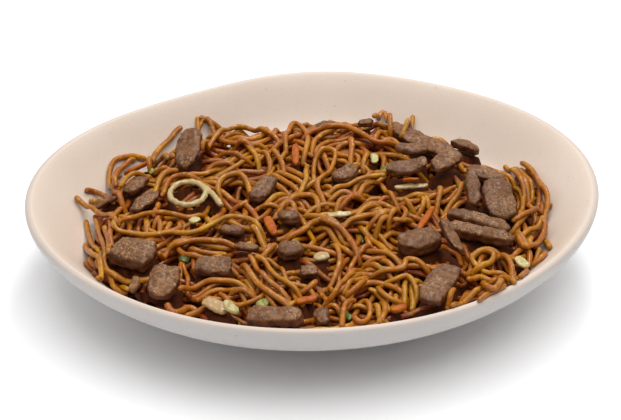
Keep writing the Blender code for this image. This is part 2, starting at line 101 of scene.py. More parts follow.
# Camera, which sees the bowl from 35 degrees above the table
IMAGE = (621, 420)
SENSOR = 36.0
ELEVATION = math.radians(35)
DISTANCE = 1000.0
PIXELS_PER_MM = 1.975
LENS = PIXELS_PER_MM * SENSOR / IMAGE[0] * DISTANCE
TARGET = (-1.3, -1.7, 40.0)


# Bowl and heap forms


def rim_radius(angle):
    waves = sum(share * np.cos(count * (angle - math.radians(crest))) for count, share, crest in RIM_WAVES)
    return RIM_MEAN_RADIUS * (1 + waves)


def rim_box_centre():
    angles = np.radians(np.arange(360))
    xs, ys = rim_radius(angles) * np.cos(angles), rim_radius(angles) * np.sin(angles)
    return (xs.min() + xs.max()) / 2, (ys.min() + ys.max()) / 2


CENTRE_X, CENTRE_Y = rim_box_centre()


def at_share(angle, share):
    radius = rim_radius(angle) * share
    return radius * np.cos(angle) - CENTRE_X, radius * np.sin(angle) - CENTRE_Y


def share_at(x, y):
    x, y = x + CENTRE_X, y + CENTRE_Y
    angle = np.arctan2(y, x)
    return angle, np.hypot(x, y) / rim_radius(angle)


def wall_outside(share):
    way_in = min(1.0, max(0.0, (1 - share) / (1 - FOOT_SHARE)))
    return BOWL_HEIGHT - WALL / 2 - WALL_DROP * way_in**WALL_CURVE


def wall_shares():
    return [1 - (1 - FOOT_SHARE) * (1 - i / WALL_RINGS) ** 2 for i in range(WALL_RINGS + 1)]


def blend_to_floor(height):
    above = height - FLOOR_LEVEL
    return FLOOR_LEVEL + (above + math.sqrt(above**2 + 4 * FLOOR_BLEND**2)) / 2


def inner_rings():
    """(share, height) of the inner surface, from the floor's middle to the lip."""
    step = 1e-4
    rings = []
    for share in wall_shares():
        low = max(FOOT_SHARE, share - step)
        high = min(1.0, low + step)
        rise = wall_outside(high) - wall_outside(low)
        run = (high - low) * RIM_MEAN_RADIUS
        slant = math.hypot(rise, run)
        inward = WALL * rise / slant / RIM_MEAN_RADIUS
        rings.append((share - inward, wall_outside(share) + WALL * run / slant))
    inmost, level = rings[0]
    floor = [(share, level - (inmost - share) * FLOOR_SLOPE) for share in FLOOR_SHARES]
    even = [ring for ring in rings if ring[0] < FLARE_START]
    return [(share, blend_to_floor(height)) for share, height in floor + even] + flare_rings(rings)


def flare_rings(rings):
    """(share, height) of the inner wall's upper part, an easy curve that ends on the lip."""
    step = 1e-3
    start, after = np.interp((FLARE_START, FLARE_START + step), *zip(*rings))
    top_share = 1 - WALL / 2 * (1 + math.sin(LIP_SLOPE)) / RIM_MEAN_RADIUS
    top = BOWL_HEIGHT - WALL / 2 * (1 - math.cos(LIP_SLOPE))
    span = top_share - FLARE_START
    t = np.linspace(0, 1, FLARE_RINGS + 1)
    heights = start * (1 + 2 * t) * (1 - t) ** 2 + (after - start) / step * span * t * (1 - t) ** 2
    heights += top * t**2 * (3 - 2 * t) - math.tan(LIP_SLOPE) * span * RIM_MEAN_RADIUS * t**2 * (1 - t)
    return list(zip((FLARE_START + span * t).tolist(), heights.tolist()))


INNER = inner_rings()
INNER_SHARES = [share for share, _ in INNER]
INNER_HEIGHTS = [height for _, height in INNER]


def wall_inside(share):
    return np.interp(share, INNER_SHARES, INNER_HEIGHTS)


def heap_edge(angle):
    """Share of the rim that the heap reaches, which is more towards the front."""
    front = np.maximum(0, -np.sin(angle)) / HEAP_FRONT_TURN
    sway = HEAP_EDGE_SWAY_X * np.cos(angle) + HEAP_EDGE_SWAY_Y * np.sin(angle)
    return HEAP_EDGE + sway + HEAP_FRONT_REACH * (1 - np.exp(-(front**2)))


def ground(x, y):
    """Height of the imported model's heap, on which its toppings rest, and of the wall past it."""
    angle, share = share_at(x, y)
    edge = heap_edge(angle)
    out = np.minimum(1.0, share / edge)
    low = wall_inside(edge) + GAP
    height = low + (HEAP_CROWN - low) * (1 - out**HEAP_SHOULDER) ** HEAP_STEEPNESS
    for mound_x, mound_y, rise, radius in HEAP_MOUNDS:
        near = ((x - mound_x) ** 2 + (y - mound_y) ** 2) / radius**2
        height = height + rise * np.exp(-near) * (1 - out**HEAP_MOUND_FADE)
    return np.where(share >= edge, wall_inside(share) + GAP, height)


# Camera, and where a place in its picture is in space


def sight(px, py, height):
    """Plan position of a pixel's line of sight at a height."""
    scale = LENS / SENSOR * IMAGE[0]
    right = (px - IMAGE[0] / 2) / scale
    up = (IMAGE[1] / 2 - py) / scale
    ahead = math.cos(ELEVATION) + up * math.sin(ELEVATION)
    climb = -math.sin(ELEVATION) + up * math.cos(ELEVATION)
    eye_y = TARGET[1] - DISTANCE * math.cos(ELEVATION)
    eye_z = TARGET[2] + DISTANCE * math.sin(ELEVATION)
    reach = (height - eye_z) / climb
    return TARGET[0] + reach * right, eye_y + reach * ahead


def add_camera():
    data = bpy.data.cameras.new("camera")
    data.lens = LENS
    data.sensor_width = SENSOR
    camera = bpy.data.objects.new("camera", data)
    camera.location = (
        TARGET[0] * MM,
        (TARGET[1] - DISTANCE * math.cos(ELEVATION)) * MM,
        (TARGET[2] + DISTANCE * math.sin(ELEVATION)) * MM,
    )
    camera.rotation_euler = (math.pi / 2 - ELEVATION, 0, 0)
    bpy.context.scene.collection.objects.link(camera)
    bpy.context.scene.camera = camera


# Shader helpers


class Shader:
    """A Principled material and short ways to add nodes to it."""

    def __init__(self, name):
        self.material = bpy.data.materials.new(name)
        self.material.use_nodes = True
        self.tree = self.material.node_tree
        self.bsdf = self.tree.nodes["Principled BSDF"]
        self.where = self.add("ShaderNodeTexCoord").outputs["Object"]

    def add(self, kind, **settings):
        node = self.tree.nodes.new(kind)
        for key, value in settings.items():
            setattr(node, key, value)
        return node

    def link(self, source, socket):
        self.tree.links.new(source, socket)

    def feed(self, socket, value):
        if isinstance(value, bpy.types.NodeSocket):
            self.link(value, socket)
        else:
            socket.default_value = value

    def noise(self, scale, detail=3.0, roughness=0.5, distortion=0.0):
        node = self.add("ShaderNodeTexNoise")
        self.link(self.where, node.inputs["Vector"])
        node.inputs["Scale"].default_value = scale
        node.inputs["Detail"].default_value = detail
        node.inputs["Roughness"].default_value = roughness
        node.inputs["Distortion"].default_value = distortion
        return node.outputs["Fac"]

    def cells(self, scale):
        node = self.add("ShaderNodeTexVoronoi")
        self.link(self.where, node.inputs["Vector"])
        node.inputs["Scale"].default_value = scale
        return node.outputs["Distance"]

    def attribute(self, name):
        return self.add("ShaderNodeAttribute", attribute_name=name).outputs["Fac"]

    def ramp(self, value, *stops):
        node = self.add("ShaderNodeValToRGB")
        self.link(value, node.inputs["Fac"])
        ramp = node.color_ramp
        while len(ramp.elements) < len(stops):
            ramp.elements.new(0.5)
        for element, (place, colour) in zip(ramp.elements, stops):
            element.position = place
            element.color = (*colour, 1.0) if isinstance(colour, tuple) else (colour, colour, colour, 1.0)
        return node.outputs["Color"]

    def patches(self, scale, detail, roughness, low, high):
        """Noise that is 0 below one of its levels and 1 above another."""
        return self.ramp(self.noise(scale, detail, roughness), (low, 0.0), (high, 1.0))

    def times(self, a, b):
        node = self.add("ShaderNodeMath", operation="MULTIPLY")
        self.feed(node.inputs[0], a)
        self.feed(node.inputs[1], b)
        return node.outputs[0]

    def mix(self, factor, a, b):
        node = self.add("ShaderNodeMix", data_type="RGBA")
        self.feed(node.inputs["Factor"], factor)
        self.feed(node.inputs["A"], a if isinstance(a, bpy.types.NodeSocket) else (*a, 1.0))
        self.feed(node.inputs["B"], b if isinstance(b, bpy.types.NodeSocket) else (*b, 1.0))
        return node.outputs["Result"]

    def laid_over(self, colour, mask, share, other):
        """A colour with a share of another over it, where a mask says so."""
        return self.mix(self.times(mask, share), colour, other)

    def bump(self, height, strength, distance_mm, below=None):
        node = self.add("ShaderNodeBump")
        self.link(height, node.inputs["Height"])
        node.inputs["Strength"].default_value = strength
        node.inputs["Distance"].default_value = distance_mm * MM
        if below is not None:
            self.link(below, node.inputs["Normal"])
        return node.outputs["Normal"]

    def finish(self, colour, roughness, normal=None, **constants):
        self.link(colour, self.bsdf.inputs["Base Color"])
        self.feed(self.bsdf.inputs["Roughness"], roughness)
        if normal is not None:
            self.link(normal, self.bsdf.inputs["Normal"])
        for name, value in constants.items():
            self.bsdf.inputs[name.replace("_", " ")].default_value = value
        return self.material


# Materials


def stoneware_material():
    """Satin off-white glaze over a speckled clay body, warmer inside than outside. The outside's darker,
    cooler copy is partly the glaze's own tone and partly painted shade, and the lip has a band of painted
    shade.
    """
    s = Shader("stoneware_glaze")
    clouds = s.noise(14, 4, 0.6)
    # The outside takes a darker, cooler copy of the glaze: partly its own tone, partly painted shade
    # standing in for the dim light on the outer wall.
    inner = s.ramp(clouds, (0.30, (0.566, 0.456, 0.372)), (0.72, (0.611, 0.509, 0.425)))
    outer_tone_and_shade = s.ramp(clouds, (0.30, (0.456, 0.429, 0.412)), (0.72, (0.496, 0.469, 0.450)))
    outside = s.attribute("outside")
    glaze = s.mix(outside, inner, outer_tone_and_shade)
    # Painted shade: a darker brown-beige band over the top of the lip, which catches the most light.
    lip = s.ramp(outside, (0.10, 0.0), (0.35, 1.0), (0.75, 1.0), (1.0, 0.0))
    glaze = s.laid_over(glaze, lip, 0.60, (0.460, 0.372, 0.305))
    fine = s.patches(900, 2, 0.7, 0.56, 0.72)
    colour = s.laid_over(glaze, fine, 0.22, (0.407, 0.301, 0.221))
    dots = s.ramp(s.cells(210), (0.05, 1.0), (0.13, 0.0))
    some = s.patches(120, 1, 0.5, 0.52, 0.62)
    colour = s.laid_over(colour, s.times(dots, some), 0.5, (0.266, 0.186, 0.133))
    roughness = s.ramp(s.noise(60, 3, 0.6), (0.3, 0.42), (0.7, 0.54))
    normal = s.bump(s.noise(38, 4, 0.55), 0.18, 0.6)
    normal = s.bump(s.noise(700, 2, 0.6), 0.12, 0.15, below=normal)
    gloss = {"Coat_Weight": 0.08, "Coat_Roughness": 0.25, "Specular_IOR_Level": 0.35}
    return s.finish(colour, roughness, normal, **gloss)


def noodle_material():
    """Egg noodles in a thin glossy sauce: golden, darker and redder deep in the heap, which is painted
    shade together with gathered sauce.
    """
    s = Shader("noodle_sauced")
    # Low tints, which the bed's noodles take, are partly painted shade.
    base = s.ramp(
        s.attribute("tint"),
        (0.0, (0.130, 0.018, 0.0003)),
        (0.35, (0.262, 0.064, 0.0006)),
        (0.65, (0.368, 0.124, 0.0010)),
        (0.90, (0.408, 0.168, 0.0018)),
        (1.0, (0.460, 0.224, 0.006)),
    )
    pools = s.ramp(s.noise(95, 3, 0.6, 0.4), (0.42, 1.0), (0.66, 0.0))
    colour = s.laid_over(base, pools, 0.45, (0.155, 0.020, 0.0004))
    smears = s.patches(26, 3, 0.6, 0.50, 0.64)
    colour = s.laid_over(colour, smears, 0.50, (0.290, 0.055, 0.0008))
    # Painted highlight: pale specks that stand in for glints on the glossy sauce.
    painted_glints = s.patches(340, 4, 0.70, 0.56, 0.66)
    colour = s.laid_over(colour, painted_glints, 0.46, (0.620, 0.370, 0.050))
    # Painted shade: noodles deep in the heap are darkened and reddened, partly as shade and partly as
    # gathered sauce.
    colour = s.laid_over(colour, s.attribute("depth"), 0.80, (0.205, 0.022, 0.0004))
    roughness = s.ramp(s.noise(320, 2, 0.6), (0.3, 0.34), (0.7, 0.58))
    normal = s.bump(s.noise(380, 3, 0.6), 0.50, 0.50)
    normal = s.bump(s.noise(950, 3, 0.7), 0.60, 0.25, below=normal)
    gloss = {"Coat_Weight": 0.40, "Coat_Roughness": 0.10, "Specular_IOR_Level": 0.18}
    soft = {"Subsurface_Weight": 0.15, "Subsurface_Scale": 0.0015}
    redder = (1.0, 0.35, 0.10)
    return s.finish(colour, roughness, normal, Subsurface_Radius=redder, **gloss, **soft)


def core_material():
    """Painted shade between the strands: a dark, sauce-brown mass."""
    s = Shader("noodle_depth")
    lumps = s.noise(160, 4, 0.6)
    colour = s.ramp(lumps, (0.3, (0.024, 0.0036, 0.0003)), (0.75, (0.090, 0.018, 0.0009)))
    normal = s.bump(s.noise(300, 3, 0.6), 0.5, 0.8)
    return s.finish(colour, 0.7, normal, Specular_IOR_Level=0.1)


def beef_material():
    """Seared beef: brown faces with a pale pebbled grain that is partly painted sheen, and sides and
    underside painted darker as shade.
    """
    s = Shader("beef_seared")
    face = s.attribute("face")
    shade = s.attribute("tint")
    lumps = s.noise(260, 3, 0.6)
    # Painted shade: the sides and underside of each slice are darker than its top.
    sides = s.ramp(lumps, (0.35, (0.047, 0.009, 0.002)), (0.7, (0.128, 0.035, 0.007)))
    faces = s.ramp(
        s.noise(380, 4, 0.65),
        (0.38, (0.068, 0.021, 0.004)),
        (0.50, (0.138, 0.049, 0.010)),
        (0.62, (0.206, 0.084, 0.019)),
    )
    colour = s.mix(face, sides, faces)
    # Pale grain on the tops, partly the meat's own grain and partly painted sheen.
    grain = s.patches(900, 3, 0.75, 0.53, 0.60)
    where_grain_and_sheen = s.ramp(s.noise(90, 2, 0.5), (0.42, 0.15), (0.60, 1.0))
    grain = s.times(s.times(grain, face), where_grain_and_sheen)
    colour = s.laid_over(colour, grain, 0.70, (0.450, 0.290, 0.140))
    browned = s.patches(70, 3, 0.6, 0.50, 0.70)
    colour = s.laid_over(colour, browned, 0.50, (0.078, 0.020, 0.004))
    colour = s.laid_over(colour, shade, 0.40, (0.085, 0.031, 0.006))
    roughness = s.ramp(s.noise(500, 2, 0.6), (0.3, 0.42), (0.7, 0.64))
    normal = s.bump(s.noise(900, 4, 0.75), 0.65, 0.40)
    normal = s.bump(s.noise(330, 3, 0.6), 0.30, 0.5, below=normal)
    gloss = {"Coat_Weight": 0.14, "Coat_Roughness": 0.14, "Specular_IOR_Level": 0.28}
    return s.finish(colour, roughness, normal, **gloss)


def onion_material():
    s = Shader("onion_soft")
    base = s.ramp(
        s.attribute("tint"),
        (0.0, (0.348, 0.200, 0.087)),
        (0.5, (0.392, 0.304, 0.131)),
        (1.0, (0.418, 0.383, 0.148)),
    )
    veins = s.patches(300, 3, 0.5, 0.40, 0.66)
    colour = s.laid_over(base, veins, 0.40, (0.348, 0.204, 0.052))
    normal = s.bump(s.noise(420, 3, 0.6), 0.25, 0.3)
    gloss = {"Coat_Weight": 0.25, "Coat_Roughness": 0.15}
    return s.finish(colour, 0.32, normal, Subsurface_Weight=0.35, Subsurface_Scale=0.002, **gloss)


def carrot_material():
    s = Shader("carrot_cooked")
    clouds = s.noise(230, 3, 0.6)
    colour = s.ramp(clouds, (0.3, (0.246, 0.037, 0.0008)), (0.7, (0.410, 0.115, 0.0025)))
    normal = s.bump(s.noise(500, 3, 0.6), 0.3, 0.3)
    gloss = {"Coat_Weight": 0.06, "Coat_Roughness": 0.16, "Specular_IOR_Level": 0.15}
    return s.finish(colour, 0.42, normal, **gloss)


def leaf_material():
    s = Shader("spring_onion_green")
    colour = s.ramp(
        s.attribute("tint"),
        (0.0, (0.035, 0.060, 0.004)),
        (0.6, (0.100, 0.128, 0.008)),
        (1.0, (0.260, 0.260, 0.045)),
    )
    streaks = s.patches(600, 2, 0.6, 0.45, 0.7)
    colour = s.laid_over(colour, streaks, 0.35, (0.287, 0.287, 0.096))
    normal = s.bump(s.noise(700, 2, 0.5), 0.2, 0.2)
    return s.finish(colour, 0.34, normal, Coat_Weight=0.1, Coat_Roughness=0.15)


# Mesh helpers


def mesh_object(name, verts, faces, material, smooth=True):
    mesh = bpy.data.meshes.new(name)
    mesh.from_pydata([tuple(v) for v in verts], [], faces)
    mesh.update()
    if smooth:
        mesh.shade_smooth()
    mesh.materials.append(material)
    obj = bpy.data.objects.new(name, mesh)
    bpy.context.scene.collection.objects.link(obj)
    return obj


def point_attribute(obj, name, values):
    attribute = obj.data.attributes.new(name, "FLOAT", "POINT")
    attribute.data.foreach_set("value", np.asarray(values, dtype=np.float32))


def mesh_points(mesh):
    """A mesh's points in millimetres."""
    points = np.empty(len(mesh.vertices) * 3)
    mesh.vertices.foreach_get("co", points)
    return points.reshape(-1, 3) / MM


def build_bowl(material):
    """The shell: its underside, over the foot ring, up the wall, over the lip, and in."""
    foot_inner = FOOT_SHARE - FOOT_WIDTH_SHARE
    foot = [
        (UNDERSIDE_SHARE, FOOT_RECESS),
        (foot_inner - 0.02, FOOT_RECESS),
        (foot_inner - 0.008, FOOT_RECESS * 0.75),
        (foot_inner, FOOT_CHAMFER),
        (foot_inner + FOOT_CHAMFER_SHARE, 0.0),
        (FOOT_SHARE - FOOT_CHAMFER_SHARE, 0.0),
        (FOOT_SHARE - 0.001, FOOT_CHAMFER),
        (FOOT_SHARE, wall_outside(FOOT_SHARE) * 0.6),
    ]
    outside = [(share, wall_outside(share)) for share in wall_shares()]
    lip_share = WALL / 2 / RIM_MEAN_RADIUS
    lip = []
    for k in range(1, LIP_RINGS + 1):
        turn = (math.pi / 2 + LIP_SLOPE) * k / (LIP_RINGS + 1)
        lip.append((1 - lip_share * (1 - math.cos(turn)), BOWL_HEIGHT - WALL / 2 * (1 - math.sin(turn))))
    profile = foot + outside + lip + INNER[:0:-1]
    angles = np.arange(SEGMENTS) * 2 * math.pi / SEGMENTS
    x, y = at_share(0, 0)
    verts = [(x * MM, y * MM, FOOT_RECESS * MM)]
    for share, height in profile:
        xs, ys = at_share(angles, share)
        verts += [(a * MM, b * MM, height * MM) for a, b in zip(xs, ys)]
    verts.append((x * MM, y * MM, INNER_HEIGHTS[0] * MM))
    last = len(verts) - 1
    faces = []
    for i in range(SEGMENTS):
        j = (i + 1) % SEGMENTS
        faces.append((0, 1 + j, 1 + i))
        top = 1 + (len(profile) - 1) * SEGMENTS
        faces.append((last, top + i, top + j))
        for k in range(len(profile) - 1):
            a, b = 1 + k * SEGMENTS, 1 + (k + 1) * SEGMENTS
            faces.append((a + i, a + j, b + j, b + i))
    obj = mesh_object("bowl_glazed", verts, faces, material)
    rings = np.arange(len(profile)) - len(foot) - len(outside)
    outward = np.clip(1 - rings / LIP_RINGS, 0, 1)
    point_attribute(obj, "outside", np.concatenate(([1], np.repeat(outward, SEGMENTS), [0])))
    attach(obj, "root")
    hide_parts("bowl")


# Height field


def field_axes():
    xs = np.arange(FIELD_X[0], FIELD_X[1] + CELL, CELL)
    ys = np.arange(FIELD_Y[0], FIELD_Y[1] + CELL, CELL)
    return np.meshgrid(xs, ys, indexing="ij")


FIELD_GRID = field_axes()
GROUND = ground(*FIELD_GRID)
BOWL_SURFACE = wall_inside(share_at(*FIELD_GRID)[1])


def disk(radius):
    """Cells within a noodle's radius of its axis, and how far its surface rises over each."""
    reach = int(radius / CELL) + 1
    steps = np.arange(-reach, reach + 1)
    di, dj = (grid.ravel() for grid in np.meshgrid(steps, steps, indexing="ij"))
    far = (di**2 + dj**2) * CELL**2
    inside = far < radius**2
    return di[inside], dj[inside], np.sqrt(radius**2 - far[inside])


DISK_I, DISK_J, DISK_LIFT = disk(NOODLE_RADIUS)


def under(i, j):
    """The cells that a noodle covers at each of its points, a row for each."""
    return i[:, None] + DISK_I, j[:, None] + DISK_J


def cell_of(x, y):
    i = np.clip(np.rint((x - FIELD_X[0]) / CELL).astype(int), 4, GROUND.shape[0] - 5)
    j = np.clip(np.rint((y - FIELD_Y[0]) / CELL).astype(int), 4, GROUND.shape[1] - 5)
    return i, j


def contact(field, x, y):
    """Lowest height of a noodle's axis over each point, where its underside just touches."""
    return (field[under(*cell_of(x, y))] + DISK_LIFT).max(axis=1)


def stamp(field, x, y, z):
    """Adds a noodle's upper surface to the field."""
    spaced = np.arange(0, len(x) - 1, CELL / POINT_STEP)
    whole = np.arange(len(x))
    x, y, z = (np.interp(spaced, whole, values) for values in (x, y, z))
    np.maximum.at(field, under(*cell_of(x, y)), z[:, None] + DISK_LIFT)


def smoothed(values, passes):
    for _ in range(passes):
        middle = (values[:-2] + 2 * values[1:-1] + values[2:]) / 4
        values = np.concatenate((values[:1], middle, values[-1:]))
    return values


def stiffened(low, passes):
    """The line of a strand that can't bend sharply, resting on a profile."""
    line = low.copy()
    for _ in range(passes):
        line = np.maximum(low, smoothed(line, 1))
    return smoothed(line, 3)


LOOP_DELAY = 14
STIFF_PASSES = 40
LOOP_STIFF_PASSES = 10
DRAPE_MARGIN = 6


def drape(field, x, y):
    """Heights of a noodle's axis, laid from its start, over what is there and over itself."""
    low = np.empty(len(x))
    i, j = cell_of(x, y)
    first_i, first_j = max(0, i.min() - DRAPE_MARGIN), max(0, j.min() - DRAPE_MARGIN)
    patch = field[first_i : i.max() + DRAPE_MARGIN + 1, first_j : j.max() + DRAPE_MARGIN + 1].copy()
    i, j = i - first_i, j - first_j
    for start in range(0, len(x), LOOP_DELAY):
        part = slice(start, min(start + LOOP_DELAY + 1, len(x)))
        low[part] = (patch[under(i[part], j[part])] + DISK_LIFT).max(axis=1)
        if start >= LOOP_DELAY:
            done = slice(start - LOOP_DELAY, start + 1)
            line = stiffened(low[done], LOOP_STIFF_PASSES)
            np.maximum.at(patch, under(i[done], j[done]), line[:, None] + DISK_LIFT)
    return stiffened(low, STIFF_PASSES)


END_SINK = 5.0
END_SINK_LENGTH = 9.0


def sunk_ends(x, y, z, first=True, last=True):
    """Lets a noodle's ends dip in among the others, but not into the bowl."""
    count = len(z)
    z = z.copy()
    for wanted, far in ((first, np.arange(count)), (last, np.arange(count)[::-1])):
        if wanted:
            z -= END_SINK * np.clip(1 - far * POINT_STEP / END_SINK_LENGTH, 0, 1) ** 1.5
    return np.maximum(z, contact(BOWL_SURFACE, x, y) + CLEAR_OF_BOWL)


# Noodle routes


def resample(points, step):
    """Points at even steps along a smooth curve through given ones."""
    points = np.asarray(points, dtype=float)
    padded = np.vstack((2 * points[0] - points[1], points, 2 * points[-1] - points[-2]))
    dense = []
    shares = np.linspace(0, 1, 12, endpoint=False)[:, None]
    for a, b, c, d in zip(padded, padded[1:], padded[2:], padded[3:]):
        dense.append(
            0.5 * (2 * b + (c - a) * shares + (2 * a - 5 * b + 4 * c - d) * shares**2
                   + (3 * b - a - 3 * c + d) * shares**3)
        )
    dense = np.vstack(dense + [points[-1:]])
    lengths = np.concatenate(([0], np.cumsum(np.hypot(*np.diff(dense, axis=0).T))))
    places = np.arange(0, lengths[-1], step)
    return np.column_stack([np.interp(places, lengths, column) for column in dense.T])


FIRST_BEND = (-0.05, 0.05)
BEND_TARGETS = (0.010, 0.130)
SWAY_CHANCE = 0.6
BEND_SPAN = (6, 26)
BEND_EASE = 0.24
TURN_BACK_BEND = 0.14
LOOK_AHEAD = 7.0
LOOK_ASIDE = 0.7
DEGREES = np.radians(np.arange(360))
EDGE_TABLE = (rim_radius(DEGREES) * heap_edge(DEGREES)).tolist()


def share_of_edge(x, y):
    x, y = x + CENTRE_X, y + CENTRE_Y
    return math.hypot(x, y) / EDGE_TABLE[int(math.degrees(math.atan2(y, x))) % 360]


def wander(draw, length, limit, blocked=None):
    """A route of easy bends that turns back at the heap's edge and aside from toppings."""
    spread = math.sqrt(draw.uniform(0, 1)) * limit * HEAP_EDGE
    angle = draw.uniform(-math.pi, math.pi)
    x, y = (float(v) for v in at_share(angle, spread))
    heading = draw.uniform(-math.pi, math.pi)
    bend = draw.uniform(*FIRST_BEND)
    aim, left = bend, 0.0
    route = [(x, y)]
    while len(route) * WALK_STEP < length:
        if left <= 0:
            left = draw.uniform(*BEND_SPAN)
            side = -math.copysign(1, aim) if draw.random() < SWAY_CHANCE else math.copysign(1, aim)
            aim = side * draw.uniform(*BEND_TARGETS)
        left -= WALK_STEP
        seen_x = x + LOOK_AHEAD * math.cos(heading)
        seen_y = y + LOOK_AHEAD * math.sin(heading)
        use = aim
        if share_of_edge(seen_x, seen_y) > limit:
            inward = math.atan2(-y, -x) - heading
            inward = (inward + math.pi) % (2 * math.pi) - math.pi
            use = math.copysign(TURN_BACK_BEND, inward)
        elif blocked is not None and is_blocked(blocked, seen_x, seen_y):
            sides = []
            for side in (1, -1):
                turned = heading + side * LOOK_ASIDE
                aside_x = x + LOOK_AHEAD * math.cos(turned)
                aside_y = y + LOOK_AHEAD * math.sin(turned)
                sides.append(not is_blocked(blocked, aside_x, aside_y))
            if not any(sides):
                break
            use = TURN_BACK_BEND * (1 if sides[0] and (aim > 0 or not sides[1]) else -1)
        bend += (use - bend) * BEND_EASE * (2 if use is not aim else 1)
        heading += bend * WALK_STEP
        x += WALK_STEP * math.cos(heading)
        y += WALK_STEP * math.sin(heading)
        route.append((x, y))
    return route


def is_blocked(blocked, x, y):
    i = int(round((x - FIELD_X[0]) / CELL))
    j = int(round((y - FIELD_Y[0]) / CELL))
    return bool(blocked[min(max(i, 0), blocked.shape[0] - 1), min(max(j, 0), blocked.shape[1] - 1)])


SIDE_GAPS = (0.95, 1.9)
GAP_PLACES = 5


def offset_route(points, side, draw):
    """A neighbour of a route, a noodle's width away, drifting a little."""
    along = np.gradient(points, axis=0)
    along /= np.maximum(1e-6, np.hypot(*along.T))[:, None]
    across = np.column_stack((-along[:, 1], along[:, 0]))
    count = len(points)
    places = np.linspace(0, count - 1, GAP_PLACES)
    gaps = [draw.uniform(*SIDE_GAPS) for _ in range(GAP_PLACES)]
    drift = np.interp(np.arange(count), places, gaps)
    return points + across * (side * 2 * NOODLE_RADIUS * drift)[:, None]


EDGE_SPARE = 0.02
TRIES = 6
REACH_SPREAD = (0.86, 1.0)
SHORTEST_WALK = 24
SHORTEST_KEPT = 16
SHORTEST_RUN = 12
LARGEST_BUNDLE = 4
BUNDLE_CHANCE = 0.55
TINT_SPREAD = 0.07


def lay_random(field, strands, draw, count, length, limit, tints, highest, blocked=None):
    """Lays noodles one by one, each the try that lies lowest, with some side by side."""
    laid = 0
    while laid < count:
        best = None
        for _ in range(TRIES):
            reach = limit * draw.uniform(*REACH_SPREAD)
            route = wander(draw, draw.uniform(*length), reach, blocked)
            if len(route) * WALK_STEP < SHORTEST_WALK:
                continue
            points = resample(route, POINT_STEP)
            low = contact(field, *points.T) - NOODLE_RADIUS
            level = float(np.mean(low - contact(GROUND, *points.T) + NOODLE_RADIUS))
            if best is None or level < best[0]:
                best = (level, points)
        if best is None:
            laid += 1
            continue
        side = draw.choice((-1, 1))
        group = [best[1]]
        while len(group) < LARGEST_BUNDLE and draw.random() < BUNDLE_CHANCE:
            group.append(offset_route(group[-1], side, draw))
        tint = draw.uniform(*tints)
        for points in group:
            z = drape(field, *points.T)
            angle, share = share_at(*points.T)
            on_heap = share / heap_edge(angle) < limit + EDGE_SPARE
            keep = longest_run((z < highest + contact(GROUND, *points.T)) & on_heap)
            laid += 1
            if keep.stop - keep.start < SHORTEST_KEPT:
                continue
            points, z = points[keep], z[keep]
            z = sunk_ends(*points.T, z)
            stamp(field, *points.T, z)
            own_tint = min(1.0, max(0.0, tint + draw.uniform(-TINT_SPREAD, TINT_SPREAD)))
            strands.append((np.column_stack((points, z)), own_tint))


def runs(flags):
    """Every stretch of true values, as slices."""
    found, start = [slice(0, 0)], None
    for place, flag in enumerate([*flags, False]):
        if flag and start is None:
            start = place
        if not flag and start is not None:
            found.append(slice(start, place))
            start = None
    return found


def longest_run(flags):
    return max(runs(flags), key=lambda run: run.stop - run.start)


PICTURE_STEP = 0.8
FIRST_HEIGHT = 50.0
OVER_GROUND = 3


def lay_by_picture(field, strands, route, tint, kept_clear, lift=0.0, tip=False):
    """Lays a noodle so that it shows along a route of picture places, but not over thin toppings."""
    pixels = resample(route, POINT_STEP * PIXELS_PER_MM * PICTURE_STEP)
    x, y = sight(pixels[:, 0], pixels[:, 1], FIRST_HEIGHT)
    z = ground(x, y) + OVER_GROUND
    for _ in range(6):
        x, y = sight(pixels[:, 0], pixels[:, 1], z)
        z = 0.5 * z + 0.5 * smoothed(ground(x, y) + OVER_GROUND, 8)
    for _ in range(4):
        x, y = sight(pixels[:, 0], pixels[:, 1], z)
        z = 0.35 * z + 0.65 * smoothed(drape(field, x, y) + lift, 4)
    x, y = sight(pixels[:, 0], pixels[:, 1], smoothed(z, 6))
    whole = resample(np.column_stack((x, y)), POINT_STEP)
    for run in [slice(0, len(whole))] if tip else runs(~kept_clear[cell_of(*whole.T)]):
        points = whole[run]
        if len(points) < SHORTEST_RUN:
            continue
        z = sunk_ends(*points.T, drape(field, *points.T) + lift, first=not tip or run.start > 0)
        stamp(field, *points.T, z)
        strands.append((np.column_stack((points, z)), tint))


# Strand meshes

PIECE_TRIANGLES = 190000
RING_STEP = 1.7
END_STEPS = (0.0, 0.35, 0.8, 1.5)
DRAWN_RADIUS = (0.84, 1.0)
SMALLEST_END = 0.02
# Size, pace and share of the phase of each swell along a noodle
SWELLS = ((0.045, 0.31, 1), (0.03, 0.83, 2))
FLATNESS = (0.90, 1.08)
TWIST = (-0.03, 0.03)


def ring_places(length):
    """Distances of a noodle's rings, closer together at its rounded ends."""
    middle = np.arange(END_STEPS[-1] + RING_STEP, length - END_STEPS[-1] - RING_STEP / 2, RING_STEP)
    return np.concatenate((END_STEPS, middle, length - np.array(END_STEPS[::-1])))


